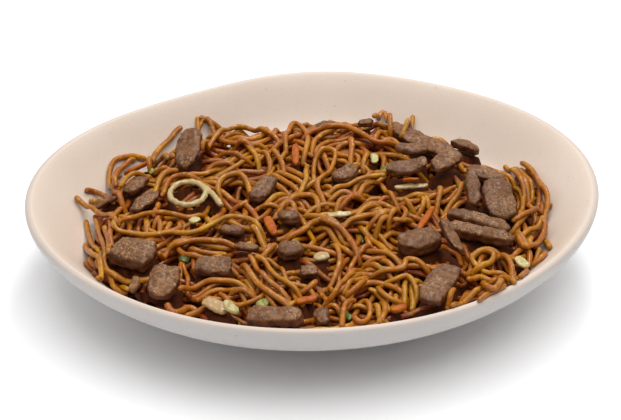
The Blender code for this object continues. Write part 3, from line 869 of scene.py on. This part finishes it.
def strand_rings(line, radius, draw, sides):
    """Rings of points round a noodle, slightly uneven, and shrunk to nothing at both ends."""
    lengths = np.concatenate(([0], np.cumsum(np.linalg.norm(np.diff(line, axis=0), axis=1))))
    places = ring_places(lengths[-1])
    centre = np.column_stack([np.interp(places, lengths, column) for column in line.T])
    along = np.gradient(centre, axis=0)
    along /= np.linalg.norm(along, axis=1)[:, None]
    side = np.cross(along, (0, 0, 1))
    side /= np.maximum(1e-6, np.linalg.norm(side, axis=1))[:, None]
    up = np.cross(side, along)
    ends = np.minimum(places, lengths[-1] - places)
    rounded = np.sqrt(np.clip(1 - (1 - np.minimum(1, ends / END_STEPS[-1])) ** 2, SMALLEST_END, 1))
    phase = draw.uniform(0, 6.28)
    uneven = 1
    for swell, pace, turns in SWELLS:
        uneven = uneven + swell * np.sin(places * pace + turns * phase)
    size = radius * rounded * uneven
    flat = draw.uniform(*FLATNESS)
    twist = draw.uniform(0, 3.14) + places * draw.uniform(*TWIST)
    rings = []
    for k in range(sides):
        turn = 2 * math.pi * k / sides
        a = np.cos(turn) * flat
        b = np.sin(turn) / flat
        across = a * np.cos(twist) - b * np.sin(twist)
        above = a * np.sin(twist) + b * np.cos(twist)
        rings.append(centre + side * (across * size)[:, None] + up * (above * size)[:, None])
    return np.stack(rings, axis=1)


# Depths below the heap's top over which the painted shade on the noodles fades in
TOP_DEPTH = 1.5
FULL_DEPTH = 6.5


def shade_depth_share(field, x, y, z):
    """How deep points lie below the finished heap, from 0 near its top to 1."""
    below = field[cell_of(x, y)] - z
    return np.clip((below - TOP_DEPTH) / (FULL_DEPTH - TOP_DEPTH), 0, 1)


def build_strands(name, strands, material, draw, field, sides):
    """One mesh, or several where one would be too large, of all the noodles in a set."""
    verts, faces, tints, shade_depths, count, parts = [], [], [], [], 0, 1
    total = 0

    def close_part():
        obj = mesh_object(f"{name}_{parts}", np.vstack(verts) * MM, faces, material)
        point_attribute(obj, "tint", np.concatenate(tints))
        point_attribute(obj, "depth", np.concatenate(shade_depths))
        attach(obj, "root")
        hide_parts("noodles")

    for line, tint in strands:
        rings = strand_rings(line, NOODLE_RADIUS * draw.uniform(*DRAWN_RADIUS), draw, sides)
        rows = len(rings)
        triangles = (rows - 1) * sides * 2 + 2 * (sides - 2)
        if total + triangles > PIECE_TRIANGLES:
            close_part()
            verts, faces, tints, shade_depths, count, total = [], [], [], [], 0, 0
            parts += 1
        verts.append(rings.reshape(-1, 3))
        tints.append(np.full(rows * sides, tint))
        shade_depths.append(shade_depth_share(field, *rings.reshape(-1, 3).T))
        for row in range(rows - 1):
            a = count + row * sides
            for k in range(sides):
                m = (k + 1) % sides
                faces.append((a + k, a + m, a + sides + m, a + sides + k))
        faces.append(tuple(count + k for k in reversed(range(sides))))
        faces.append(tuple(count + (rows - 1) * sides + k for k in range(sides)))
        count += rows * sides
        total += triangles
    close_part()
    print(name, "noodles", len(strands), "parts", parts, "last part triangles", total)


CORE_SEGMENTS = 160
CORE_ROWS = 40
CORE_EDGE_INSET = 0.03
CORE_CLEARANCE = 0.6
CORE_LUMP = 1.4
CORE_LUMP_SCALE = 0.16


def build_core(material, topping_field):
    """What shows in the deepest gaps: a dark lumpy mass of painted shade, which rises close under each
    topping as painted shadow.
    """
    segments, rows = CORE_SEGMENTS, CORE_ROWS
    angles = np.arange(segments) * 2 * math.pi / segments
    x, y = at_share(0, 0)
    top = float(ground(-CENTRE_X, -CENTRE_Y)) - CORE_DEPTH
    verts = [(x, y, top)]
    for row in range(1, rows + 1):
        share = (heap_edge(angles) - CORE_EDGE_INSET) * row / rows
        xs, ys = at_share(angles, share)
        depth = np.where(topping_field[cell_of(xs, ys)] > 0, CORE_DEPTH_UNDER_TOPPINGS, CORE_DEPTH)
        zs = np.maximum(wall_inside(share) + CORE_CLEARANCE, ground(xs, ys) - depth)
        for a, b, c in zip(xs, ys, zs):
            lump = CORE_LUMP * noise.noise(Vector((a * CORE_LUMP_SCALE, b * CORE_LUMP_SCALE, 3.0)))
            verts.append((a, b, c + max(0.0, lump)))
    faces = []
    for i in range(segments):
        j = (i + 1) % segments
        faces.append((0, 1 + i, 1 + j))
        for row in range(rows - 1):
            a, b = 1 + row * segments, 1 + (row + 1) * segments
            faces.append((a + i, b + i, b + j, a + j))
    obj = mesh_object("noodle_core", np.array(verts) * MM, faces, material)
    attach(obj, "root")
    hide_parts("noodles")


# Toppings


def node_mesh(node):
    """A copy of a CAD node's mesh, welded."""
    work = bmesh.new()
    work.from_mesh(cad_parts[node].data)
    bmesh.ops.remove_doubles(work, verts=work.verts, dist=1e-5)
    return work


def remeshed(name, work, voxel, material):
    mesh = bpy.data.meshes.new(name)
    work.to_mesh(mesh)
    work.free()
    obj = bpy.data.objects.new(name, mesh)
    bpy.context.scene.collection.objects.link(obj)
    remesh = obj.modifiers.new("remesh", "REMESH")
    remesh.mode = "VOXEL"
    remesh.voxel_size = voxel * MM
    remesh.use_smooth_shade = True
    bpy.context.view_layer.update()
    made = bpy.data.meshes.new_from_object(obj.evaluated_get(bpy.context.evaluated_depsgraph_get()))
    obj.modifiers.clear()
    obj.data = made
    made.materials.clear()
    made.materials.append(material)
    return obj


def relax(obj, passes):
    work = bmesh.new()
    work.from_mesh(obj.data)
    axes = {"use_axis_x": True, "use_axis_y": True, "use_axis_z": True}
    for _ in range(passes):
        bmesh.ops.smooth_vert(work, verts=work.verts, factor=0.5, **axes)
    work.to_mesh(obj.data)
    work.free()


def main_axes(points):
    """Long, broad and thin directions of a slice."""
    centred = points - points.mean(axis=0)
    _, _, rows = np.linalg.svd(centred, full_matrices=False)
    return points.mean(axis=0), rows


def lumps_at(place, scales, shift):
    """Smooth noise at a place, with a scale for each of its directions."""
    u, v, w = place
    return noise.noise(Vector((u * scales[0] + shift, v * scales[1], w * scales[2])))


BEEF_VOXEL = 0.75
SOFT_VOXEL = 0.5
EDGE_THINNING = 0.30
BEEF_GRAIN = (0.10, 1.05, 0.5)
BEEF_LUMPS = (0.22, 0.22, 0.3)
BEEF_PEBBLES = (0.85, 0.85, 0.85)
BEEF_BANDS = (0.06, 0.10, 0.9)
BEEF_NICKS = (0.38, 0.38, 0.2)
SOFT_LUMPS = (0.35, 0.35, 0.35)


def build_beef(node, material, draw):
    """A slice with a rounded uneven outline, a grain along its length and a lumpy surface."""
    obj = remeshed(node + "_seared", node_mesh(node), BEEF_VOXEL, material)
    relax(obj, 2)
    mesh = obj.data
    count = len(mesh.vertices)
    points = mesh_points(mesh)
    normals = np.array([v.normal for v in mesh.vertices])
    centre, axes = main_axes(points)
    thin = axes[2] if axes[2][2] > 0 else -axes[2]
    local = (points - centre) @ axes.T
    facing = normals @ thin
    reach = np.abs(local[:, :2]).max(axis=0)
    height = local[:, 2] * (1 if axes[2][2] > 0 else -1)
    half = np.abs(height).max()
    outward = np.clip((np.abs(local[:, :2] / reach).max(axis=1) - 0.45) / 0.55, 0, 1)
    points -= thin * (EDGE_THINNING * half * outward**2 * np.clip(height / half + 0.4, 0, 1))[:, None]
    shift = draw.uniform(-40, 40)
    moves = np.empty(count)
    for k in range(count):
        kinds = (BEEF_GRAIN, BEEF_LUMPS, BEEF_PEBBLES, BEEF_BANDS, BEEF_NICKS)
        grain, lumps, pebbles, bands, nicks = (lumps_at(local[k], scales, shift) for scales in kinds)
        on_face = abs(facing[k])
        moves[k] = (0.35 * grain + 0.30 * pebbles) * on_face + 0.90 * lumps
        moves[k] += (0.8 * nicks + 0.55 * bands) * (1 - on_face)
    points += normals * moves[:, None]
    mesh.vertices.foreach_set("co", (points * MM).ravel())
    mesh.update()
    # Share of each point on the slice's top, which the material paints lighter than the sides and
    # underside, as painted light and shade.
    face = np.clip((facing - 0.35) / 0.45, 0, 1)
    point_attribute(obj, "face", face)
    point_attribute(obj, "tint", np.full(count, draw.uniform(0.0, 1.0) ** 1.5))
    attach(obj, "root")
    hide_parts(node)


def build_soft(node, material, draw, suffix, lump, swell=0.0):
    """An onion or carrot piece: rounded, a little uneven."""
    obj = remeshed(node + suffix, node_mesh(node), SOFT_VOXEL, material)
    relax(obj, 5)
    shift = draw.uniform(-40, 40)
    for vert in obj.data.vertices:
        push = lumps_at(vert.co / MM, SOFT_LUMPS, shift)
        vert.co += vert.normal * (push * lump + swell) * MM
    obj.data.update()
    point_attribute(obj, "tint", np.full(len(obj.data.vertices), draw.uniform(0, 1)))
    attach(obj, "root")
    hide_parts(node)


def raster_top(field, obj):
    """Adds the upper surface of a mesh to the height field."""
    mesh = obj.data
    mesh.calc_loop_triangles()
    points = mesh_points(mesh)
    corners = np.empty(len(mesh.loop_triangles) * 3, dtype=np.int32)
    mesh.loop_triangles.foreach_get("vertices", corners)
    a, b, c = (points[corners.reshape(-1, 3)[:, k]] for k in range(3))
    spans = np.linalg.norm(np.maximum(np.abs(b - a), np.abs(c - a)), axis=1)
    for p, q, r, span in zip(a, b, c, spans):
        steps = max(2, int(span / (CELL * 0.6)) + 1)
        u, v = (grid.ravel() / steps for grid in np.meshgrid(range(steps + 1), range(steps + 1)))
        inside = u + v <= 1.0001
        spots = p + u[inside][:, None] * (q - p) + v[inside][:, None] * (r - p)
        i, j = cell_of(spots[:, 0], spots[:, 1])
        np.maximum.at(field, (i, j), spots[:, 2])


LEAF_BITS = (  # x, y, length, width and heading, as in the part's source
    (-43, 46, 6, 3.5, 60),
    (-41, 26, 6, 4, -30),
    (38, 33, 6, 4, 20),
    (75, 14, 5, 4, 80),
    (-24, -84, 6, 4, 30),
    (15, -93, 6, 4, -10),
    (-62, -45, 6, 5, 40),
    (34, -62, 5, 3, 0),
)
LEAF_SNIPS = (  # picture place, length, width and heading of smaller snips
    (152, 165, 4.5, 2.5, 70),
    (226, 144, 4, 2.5, -20),
    (465, 172, 4.5, 3, 30),
    (269, 303, 5, 2.5, 10),
    (332, 324, 4, 2.5, 60),
    (242, 312, 4, 2.5, -40),
    (390, 156, 4.5, 2.5, 15),
    (361, 227, 4, 2.5, -60),
)
LEAF_ROWS = 9
LEAF_COLUMNS = 5
LEAF_THICKNESS = 0.5


def heap_place(px, py):
    """Plan place on the heap that a picture place shows."""
    x, y = sight(px, py, HEAP_CROWN)
    for _ in range(20):
        x, y = sight(px, py, float(ground(x, y)) + OVER_GROUND)
    return float(x), float(y)


def build_leaves(field, material, draw):
    """Snipped leaves: thin wavy slabs that lie on the noodles below them."""
    verts, faces, tints = [], [], []
    snips = [(*heap_place(px, py), *sizes) for px, py, *sizes in LEAF_SNIPS]
    for x, y, length, width, heading in (*LEAF_BITS, *snips):
        turn = math.radians(heading)
        curl = draw.uniform(0.5, 1.2)
        tint = draw.uniform(0.0, 1.0)
        first = len(verts)
        sides = []
        for row in range(LEAF_ROWS):
            along = row / (LEAF_ROWS - 1) - 0.5
            for column in range(LEAF_COLUMNS):
                across = column / (LEAF_COLUMNS - 1) - 0.5
                out = length * along
                aside = width * across * math.sqrt(max(0.1, 1 - 3.2 * along**2))
                px = x + out * math.cos(turn) - aside * math.sin(turn)
                py = y + out * math.sin(turn) + aside * math.cos(turn)
                i, j = cell_of(np.array([px]), np.array([py]))
                low = float(field[i[0] - 2 : i[0] + 3, j[0] - 2 : j[0] + 3].mean())
                sides.append((px, py, low + curl * math.cos(6 * along) * (1 - 4 * across**2) + 0.2))
        heights = [place[2] for place in sides]
        level = sum(heights) / len(heights)
        for offset in (0.0, LEAF_THICKNESS):
            for px, py, height in sides:
                verts.append((px, py, level + (height - level) * 0.45 + offset))
                tints.append(tint)
        count = LEAF_ROWS * LEAF_COLUMNS
        for row in range(LEAF_ROWS - 1):
            for column in range(LEAF_COLUMNS - 1):
                a = first + row * LEAF_COLUMNS + column
                b = a + LEAF_COLUMNS
                faces.append((a, b, b + 1, a + 1))
                faces.append((a + count, a + count + 1, b + count + 1, b + count))
        edge = list(range(LEAF_COLUMNS))
        edge += [row * LEAF_COLUMNS + LEAF_COLUMNS - 1 for row in range(1, LEAF_ROWS)]
        edge += [(LEAF_ROWS - 1) * LEAF_COLUMNS + column for column in reversed(range(LEAF_COLUMNS - 1))]
        edge += [row * LEAF_COLUMNS for row in reversed(range(1, LEAF_ROWS - 1))]
        for a, b in zip(edge, edge[1:] + edge[:1]):
            faces.append((first + a, first + b, first + b + count, first + a + count))
    obj = mesh_object("spring_onion_bits", np.array(verts) * MM, faces, material)
    point_attribute(obj, "tint", tints)
    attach(obj, "root")
    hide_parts("noodles")


# Picture places of noodles that show, each a route of (right, down) in pixels, lowest first
ROUTES = (
    ((85, 190), (94, 190), (103, 192), (110, 195), (118, 199)),
    ((89, 201), (95, 197), (103, 196), (110, 199), (120, 203)),
    ((86, 220), (88, 230), (91, 239), (96, 247), (104, 252)),
    ((95, 218), (100, 235), (105, 251), (104, 262), (112, 268)),
    ((103, 222), (107, 235), (109, 246), (106, 258)),
    ((109, 216), (111, 227), (110, 237), (116, 248)),
    ((85, 243), (91, 253), (99, 259), (101, 271), (97, 277)),
    ((121, 279), (129, 284), (136, 291), (146, 295)),
    ((150, 162), (158, 155), (171, 153), (180, 156)),
    ((158, 213), (160, 224), (157, 234)),
    ((184, 213), (185, 225), (182, 235)),
    ((145, 210), (147, 222), (146, 232)),
    ((167, 239), (182, 241), (196, 234), (209, 228)),
    ((211, 155), (222, 152), (234, 153), (243, 156), (254, 159)),
    ((201, 167), (210, 164), (220, 163), (232, 161), (240, 165)),
    ((236, 135), (244, 142), (250, 148), (257, 157), (261, 168)),
    ((257, 147), (265, 151), (269, 158), (270, 166), (266, 173)),
    ((271, 144), (277, 154), (283, 164), (284, 172)),
    ((231, 144), (238, 140), (248, 141), (256, 147)),
    ((275, 171), (287, 168), (293, 164), (303, 160)),
    ((311, 150), (315, 140), (325, 133), (337, 129), (348, 126), (360, 129)),
    ((309, 160), (306, 171), (306, 180), (300, 191), (292, 197)),
    ((332, 149), (341, 144), (351, 143), (361, 142), (372, 139)),
    ((350, 134), (352, 144), (351, 153), (350, 161)),
    ((251, 206), (263, 205), (277, 204), (288, 207)),
    ((263, 201), (273, 196), (283, 192), (291, 187)),
    ((277, 210), (284, 202), (292, 201), (297, 207), (300, 217)),
    ((284, 199), (296, 195), (307, 193), (315, 195), (318, 202), (317, 210)),
    ((301, 211), (312, 215), (325, 218), (337, 221), (347, 226)),
    ((327, 198), (337, 193), (348, 191), (360, 194)),
    ((334, 209), (340, 200), (349, 197), (360, 195), (369, 191)),
    ((340, 129), (351, 128), (360, 133), (371, 139), (381, 144), (391, 147), (401, 147)),
    ((373, 137), (381, 131), (390, 135), (396, 141)),
    ((378, 139), (388, 138), (399, 140), (407, 145), (410, 152)),
    ((363, 144), (367, 153), (363, 161), (366, 169)),
    ((380, 148), (384, 157), (381, 165), (371, 170), (362, 177)),
    ((358, 193), (364, 185), (374, 181), (384, 180)),
    ((376, 199), (383, 196), (391, 196), (397, 203)),
    ((380, 184), (387, 190), (394, 197), (401, 205)),
    ((405, 192), (411, 189), (420, 192), (424, 200), (421, 208), (414, 213)),
    ((338, 203), (350, 197), (359, 195), (370, 195)),
    ((346, 219), (360, 216), (374, 214), (387, 210), (396, 204)),
    ((354, 214), (365, 208), (376, 204), (387, 204)),
    ((424, 181), (426, 192), (430, 203), (428, 212)),
    ((438, 180), (440, 192), (434, 204), (425, 212)),
    ((339, 226), (352, 219), (363, 217), (374, 216), (385, 211)),
    ((365, 223), (376, 218), (386, 213), (394, 207)),
    ((372, 225), (367, 231), (369, 239), (375, 245)),
    ((374, 234), (381, 223), (386, 217), (390, 208)),
    ((380, 234), (389, 232), (398, 231), (406, 226)),
    ((389, 226), (389, 216), (393, 211), (401, 206)),
    ((392, 219), (401, 223), (408, 220), (415, 215)),
    ((249, 222), (257, 231), (261, 239), (268, 247)),
    ((291, 235), (298, 242), (306, 248), (315, 249)),
    ((345, 224), (354, 218), (361, 216)),
    ((332, 238), (338, 249), (340, 260), (337, 271), (332, 280), (324, 287)),
    ((301, 294), (312, 298), (325, 296), (337, 292), (348, 286), (358, 283)),
    ((292, 300), (302, 302), (311, 304), (322, 302), (333, 303), (341, 310), (345, 318)),
    ((343, 286), (350, 279), (361, 271), (370, 266)),
    ((360, 259), (371, 258), (381, 255), (388, 248)),
    ((345, 277), (353, 269), (364, 262)),
    ((340, 283), (348, 274), (357, 267)),
    ((343, 288), (352, 281), (363, 275), (371, 270)),
    ((345, 291), (355, 288), (363, 280), (369, 272)),
    ((368, 281), (374, 288), (381, 297), (388, 302), (391, 310), (387, 318), (381, 318), (378, 308),
     (373, 298), (369, 290)),
    ((380, 296), (385, 305), (384, 314), (378, 322)),
    ((378, 280), (380, 289), (385, 295), (393, 299), (401, 299), (408, 296)),
    ((396, 294), (406, 288), (413, 287)),
    ((356, 299), (364, 298), (369, 304), (370, 313), (366, 320), (360, 322), (355, 318), (356, 312),
     (363, 309)),
    ((342, 326), (343, 313), (346, 302), (353, 294), (358, 289)),
    ((447, 305), (454, 294), (461, 285), (469, 278), (481, 273)),
    ((452, 306), (461, 297), (469, 290), (477, 288), (486, 289)),
    ((460, 300), (473, 294), (483, 294), (492, 289)),
    ((460, 299), (470, 295), (480, 290), (489, 288), (497, 288), (503, 281)),
    ((478, 301), (487, 294), (498, 289), (507, 284)),
    ((480, 285), (489, 290), (498, 287), (504, 279)),
    ((497, 271), (505, 273), (512, 279), (515, 285)),
    ((467, 276), (480, 274), (489, 275), (494, 270)),
    ((509, 256), (515, 249), (524, 246), (530, 251), (529, 259), (527, 268), (519, 278)),
    ((517, 176), (523, 187), (525, 196), (522, 205)),
    ((552, 203), (546, 208), (537, 210), (530, 216)),
    ((544, 190), (535, 197), (529, 203), (520, 209)),
    ((507, 223), (518, 219), (527, 214), (536, 207)),
    ((525, 200), (533, 212), (535, 226), (529, 242)),
    ((536, 188), (542, 202), (541, 217), (535, 232)),
    ((519, 168), (527, 175), (532, 186), (533, 199)),
    ((527, 167), (535, 178), (540, 191), (538, 205)),
    ((514, 180), (521, 191), (523, 204), (519, 214)),
    ((540, 182), (546, 194), (547, 206), (543, 218)),
    ((520, 232), (529, 229), (538, 226), (544, 215)),
    ((534, 210), (543, 217), (544, 228)),
    ((470, 175), (478, 173), (489, 171)),
    ((446, 173), (456, 166), (463, 159)),
    ((166, 301), (172, 304), (182, 302), (196, 302), (206, 305)),
    ((186, 303), (194, 306), (200, 312)),
    ((234, 271), (243, 277), (251, 285), (258, 290)),
    ((238, 260), (245, 271), (253, 281), (259, 289)),
    ((256, 288), (263, 279), (271, 275), (281, 276)),
    ((266, 286), (268, 295), (274, 302), (283, 305)),
    ((273, 284), (279, 292), (287, 298), (297, 300)),
    ((228, 289), (239, 288), (250, 291), (261, 294)),
    ((223, 300), (231, 304), (241, 304), (251, 300)),
    ((213, 288), (216, 300), (220, 310), (224, 317)),
    ((116, 219), (114, 227), (122, 232), (143, 234), (169, 234), (194, 232), (214, 223), (229, 217),
     (249, 219), (265, 230), (273, 240)),
    ((116, 219), (131, 214), (155, 213), (180, 213), (204, 211), (220, 205), (237, 202), (247, 195),
     (249, 183), (239, 174), (224, 177), (218, 187), (224, 197)),
    ((143, 244), (155, 248), (173, 245), (194, 240), (220, 241), (245, 242), (255, 252), (263, 254),
     (271, 248), (280, 236), (294, 225), (317, 221), (333, 224), (343, 230), (353, 244), (363, 260)),
    ((147, 213), (151, 193), (161, 177), (176, 168), (204, 170)),
    ((154, 212), (158, 196), (167, 182), (179, 175), (206, 177)),
    ((147, 158), (131, 156), (114, 161), (109, 180), (118, 193), (127, 209)),
    ((117, 172), (123, 174), (132, 177), (142, 181), (150, 186)),
    ((113, 188), (117, 180), (124, 175), (134, 173), (146, 173)),
    ((111, 180), (117, 172), (126, 168), (138, 168), (150, 170)),
    ((116, 196), (120, 187), (128, 182), (140, 184)),
    ((106, 200), (112, 192), (119, 188), (127, 187), (136, 190)),
    ((198, 128), (204, 120), (216, 123), (227, 130)),
    ((200, 127), (209, 127), (217, 131), (224, 137)),
    ((198, 130), (201, 140), (203, 149), (200, 158)),
    ((202, 156), (210, 144), (220, 132), (235, 127), (255, 128), (271, 133), (283, 140)),
    ((286, 148), (286, 134), (294, 123), (304, 128), (308, 140), (302, 160)),
    ((181, 254), (179, 264), (180, 275), (184, 288)),
    ((167, 305), (173, 295), (192, 289), (208, 281), (229, 281), (251, 283)),
    ((247, 246), (255, 264), (267, 279), (286, 293), (306, 303), (320, 305)),
    ((254, 244), (262, 260), (274, 273), (292, 286), (312, 296)),
    ((240, 250), (248, 270), (260, 285), (280, 299), (300, 310)),
    ((257, 219), (266, 226), (271, 236), (265, 251)),
    ((300, 286), (310, 284), (320, 277), (324, 267), (321, 258)),
    ((300, 296), (317, 298), (333, 293), (343, 281), (353, 271), (360, 267)),
    ((368, 271), (386, 270), (403, 268), (406, 259), (413, 257), (422, 261), (432, 267)),
    ((379, 280), (391, 277), (405, 273), (413, 281), (417, 292), (413, 299)),
    ((314, 181), (314, 164), (322, 150), (335, 152), (331, 168), (318, 181), (320, 193), (329, 205)),
    ((300, 136), (316, 128), (341, 126), (359, 132), (378, 142), (402, 140)),
    ((325, 191), (345, 183), (369, 177), (392, 178), (402, 193), (416, 209)),
    ((396, 178), (410, 172), (424, 168), (443, 165), (461, 162)),
    ((463, 174), (461, 185), (457, 195), (443, 203)),
    ((504, 166), (520, 172), (531, 183), (533, 193)),
    ((512, 219), (531, 211), (545, 205)),
    ((516, 228), (522, 244), (531, 246), (543, 234), (545, 219), (535, 212)),
    ((497, 249), (505, 253), (511, 263), (513, 276)),
    ((470, 253), (481, 249), (493, 251), (491, 261), (479, 265), (467, 265)),
)
# The same for noodles whose first point is a cut end that shows, with how far each is held up in mm
TIP_ROUTES = (
    (((75, 196), (80, 201), (88, 206), (97, 211), (108, 215), (120, 220)), 0.5),
    (((182, 125), (176, 131), (170, 139), (162, 146), (155, 152), (149, 160), (152, 168)), 1.0),
    (((373, 126), (376, 117), (381, 109), (386, 110), (389, 118), (391, 127)), 2.5),
    (((413, 114), (411, 120), (407, 126), (400, 131)), 1.0),
    (((116, 187), (114, 176), (118, 168), (126, 164), (136, 162)), 0.0),
    (((120, 188), (125, 181), (132, 177), (141, 172), (150, 167)), 0.0),
    (((511, 169), (517, 172), (523, 179), (527, 188), (529, 199)), 0.0),
    (((515, 172), (520, 178), (524, 187), (525, 197)), 0.0),
    (((521, 163), (530, 168), (536, 176), (540, 184), (546, 191), (548, 200), (545, 211)), 0.3),
)
ROUTE_TINTS = (0.56, 0.98)


# Light and floor


def add_area(name, place, aim, size, watts):
    data = bpy.data.lights.new(name, "AREA")
    data.shape = "RECTANGLE"
    data.size, data.size_y = size
    data.energy = watts
    lamp = bpy.data.objects.new(name, data)
    lamp.location = place
    lamp.rotation_euler = (Vector(aim) - Vector(place)).to_track_quat("-Z", "Y").to_euler()
    bpy.context.scene.collection.objects.link(lamp)


def add_floor():
    s = Shader("floor_white")
    colour = s.ramp(s.noise(3, 2, 0.5), (0.3, (0.90, 0.90, 0.905)), (0.7, (0.915, 0.915, 0.92)))
    material = s.finish(colour, 0.8)
    size = 4.0
    corners = [(-size, -size, 0), (size, -size, 0), (size, size, 0), (-size, size, 0)]
    floor = mesh_object("floor", corners, [(0, 1, 2, 3)], material, smooth=False)


WORLD_STRENGTH = 0.80
WORLD_DIM = 0.0
DIM_SIDE = (0.50, -0.87, 0.0)


def add_world():
    """Pale walls and ceiling, dimmer low down on the camera's side."""
    world = bpy.data.worlds.new("studio")
    world.use_nodes = True
    tree = world.node_tree
    way = tree.nodes.new("ShaderNodeTexCoord").outputs["Generated"]
    side = tree.nodes.new("ShaderNodeVectorMath")
    side.operation = "DOT_PRODUCT"
    side.inputs[1].default_value = DIM_SIDE
    height = tree.nodes.new("ShaderNodeSeparateXYZ")
    tree.links.new(way, side.inputs[0])
    tree.links.new(way, height.inputs[0])

    def ranged(value, low, high, at_low, at_high):
        node = tree.nodes.new("ShaderNodeMapRange")
        tree.links.new(value, node.inputs["Value"])
        for name, number in zip(("From Min", "From Max", "To Min", "To Max"), (low, high, at_low, at_high)):
            node.inputs[name].default_value = number
        return node.outputs["Result"]

    shade = tree.nodes.new("ShaderNodeMath")
    shade.operation = "MULTIPLY"
    tree.links.new(ranged(side.outputs["Value"], -0.1, 0.6, 0.0, 1.0), shade.inputs[0])
    tree.links.new(ranged(height.outputs["Z"], 0.25, 0.8, 1.0, 0.0), shade.inputs[1])
    background = tree.nodes["Background"]
    background.inputs["Color"].default_value = (1.0, 1.0, 1.0, 1.0)
    strength = ranged(shade.outputs[0], 0.0, 1.0, WORLD_STRENGTH, WORLD_DIM)
    tree.links.new(strength, background.inputs["Strength"])
    bpy.context.scene.world = world


def add_light():
    """A broad softbox overhead and a small lamp behind, for glints, in a pale studio."""
    add_world()
    add_area("key", (0.12, -0.22, 1.22), (0, 0, 0.03), (1.2, 1.2), 13.5)
    add_area("glint", (0.12, 0.50, 0.85), (0, 0, 0.03), (0.30, 0.30), 3.0)
    bpy.context.scene.view_settings.view_transform = "Standard"


def widened(mask, cells):
    """A mask grown by some cells all round."""
    for _ in range(cells):
        grown = mask.copy()
        grown[1:] |= mask[:-1]
        grown[:-1] |= mask[1:]
        grown[:, 1:] |= mask[:, :-1]
        grown[:, :-1] |= mask[:, 1:]
        mask = grown
    return mask


ONION_LUMP = 0.6
CARROT_LUMP = 0.3
RING_SWELL = 0.20
BED_TOP = -1.8 - NOODLE_RADIUS
# The bed's noodles take lower, darker tints than those above: partly random tone, partly painted shade for
# the noodles under the top layers.
BED = {"count": 130, "length": (90, 190), "limit": 0.97, "tints": (0.30, 0.75), "highest": BED_TOP}
UPPER = {"count": 130, "length": (90, 240), "limit": 1.0, "tints": (0.55, 0.92), "highest": 0.8}
BLOCKING_RISE = 0.5
BLOCKED_MARGIN = 3  # cells
THIN_MARGIN = 2  # cells
VIEW_CLEARANCE = 6  # cells kept free in front of thin toppings, so that the camera sees them


def main():
    draw = random.Random(SEED)
    add_camera()
    add_floor()
    add_light()
    build_bowl(stoneware_material())
    beef_look, onion_look, carrot_look = beef_material(), onion_material(), carrot_material()
    nodes = sorted(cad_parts)
    topping_field = np.full(GROUND.shape, -1.0)
    thin_field = topping_field.copy()
    for node in nodes:
        if node.startswith("beef"):
            build_beef(node, beef_look, draw)
        elif node.startswith("onion"):
            swell = RING_SWELL if node == "onion_01" else 0.0
            build_soft(node, onion_look, draw, "_soft", ONION_LUMP, swell)
        elif node.startswith("carrot"):
            build_soft(node, carrot_look, draw, "_cooked", CARROT_LUMP)
        if node not in ("bowl", "noodles"):
            raster_top(topping_field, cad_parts[node])
        if node.startswith(("onion", "carrot")):
            raster_top(thin_field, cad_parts[node])

    build_core(core_material(), topping_field)
    field = np.maximum(BOWL_SURFACE + CLEAR_OF_BOWL, GROUND - CORE_DEPTH)
    bed, upper, shown = [], [], []
    lay_random(field, bed, draw, **BED)
    blocked = widened(topping_field > GROUND + BLOCKING_RISE, BLOCKED_MARGIN)
    kept_clear = widened(thin_field > 0, THIN_MARGIN)
    for _ in range(VIEW_CLEARANCE):
        kept_clear[:, :-1] |= kept_clear[:, 1:]
    kept_clear |= widened(topping_field > 0, 1)
    field = np.maximum(field, topping_field)
    lay_random(field, upper, draw, **UPPER, blocked=blocked)
    for route in ROUTES:
        lay_by_picture(field, shown, route, draw.uniform(*ROUTE_TINTS), kept_clear)
    for route, lift in TIP_ROUTES:
        lay_by_picture(field, shown, route, draw.uniform(*ROUTE_TINTS), kept_clear, lift, tip=True)
    look = noodle_material()
    build_strands("noodle_bed", bed, look, draw, field, sides=7)
    build_strands("noodle_upper", upper, look, draw, field, sides=9)
    build_strands("noodle_shown", shown, look, draw, field, sides=10)
    build_leaves(field, leaf_material(), draw)


main()
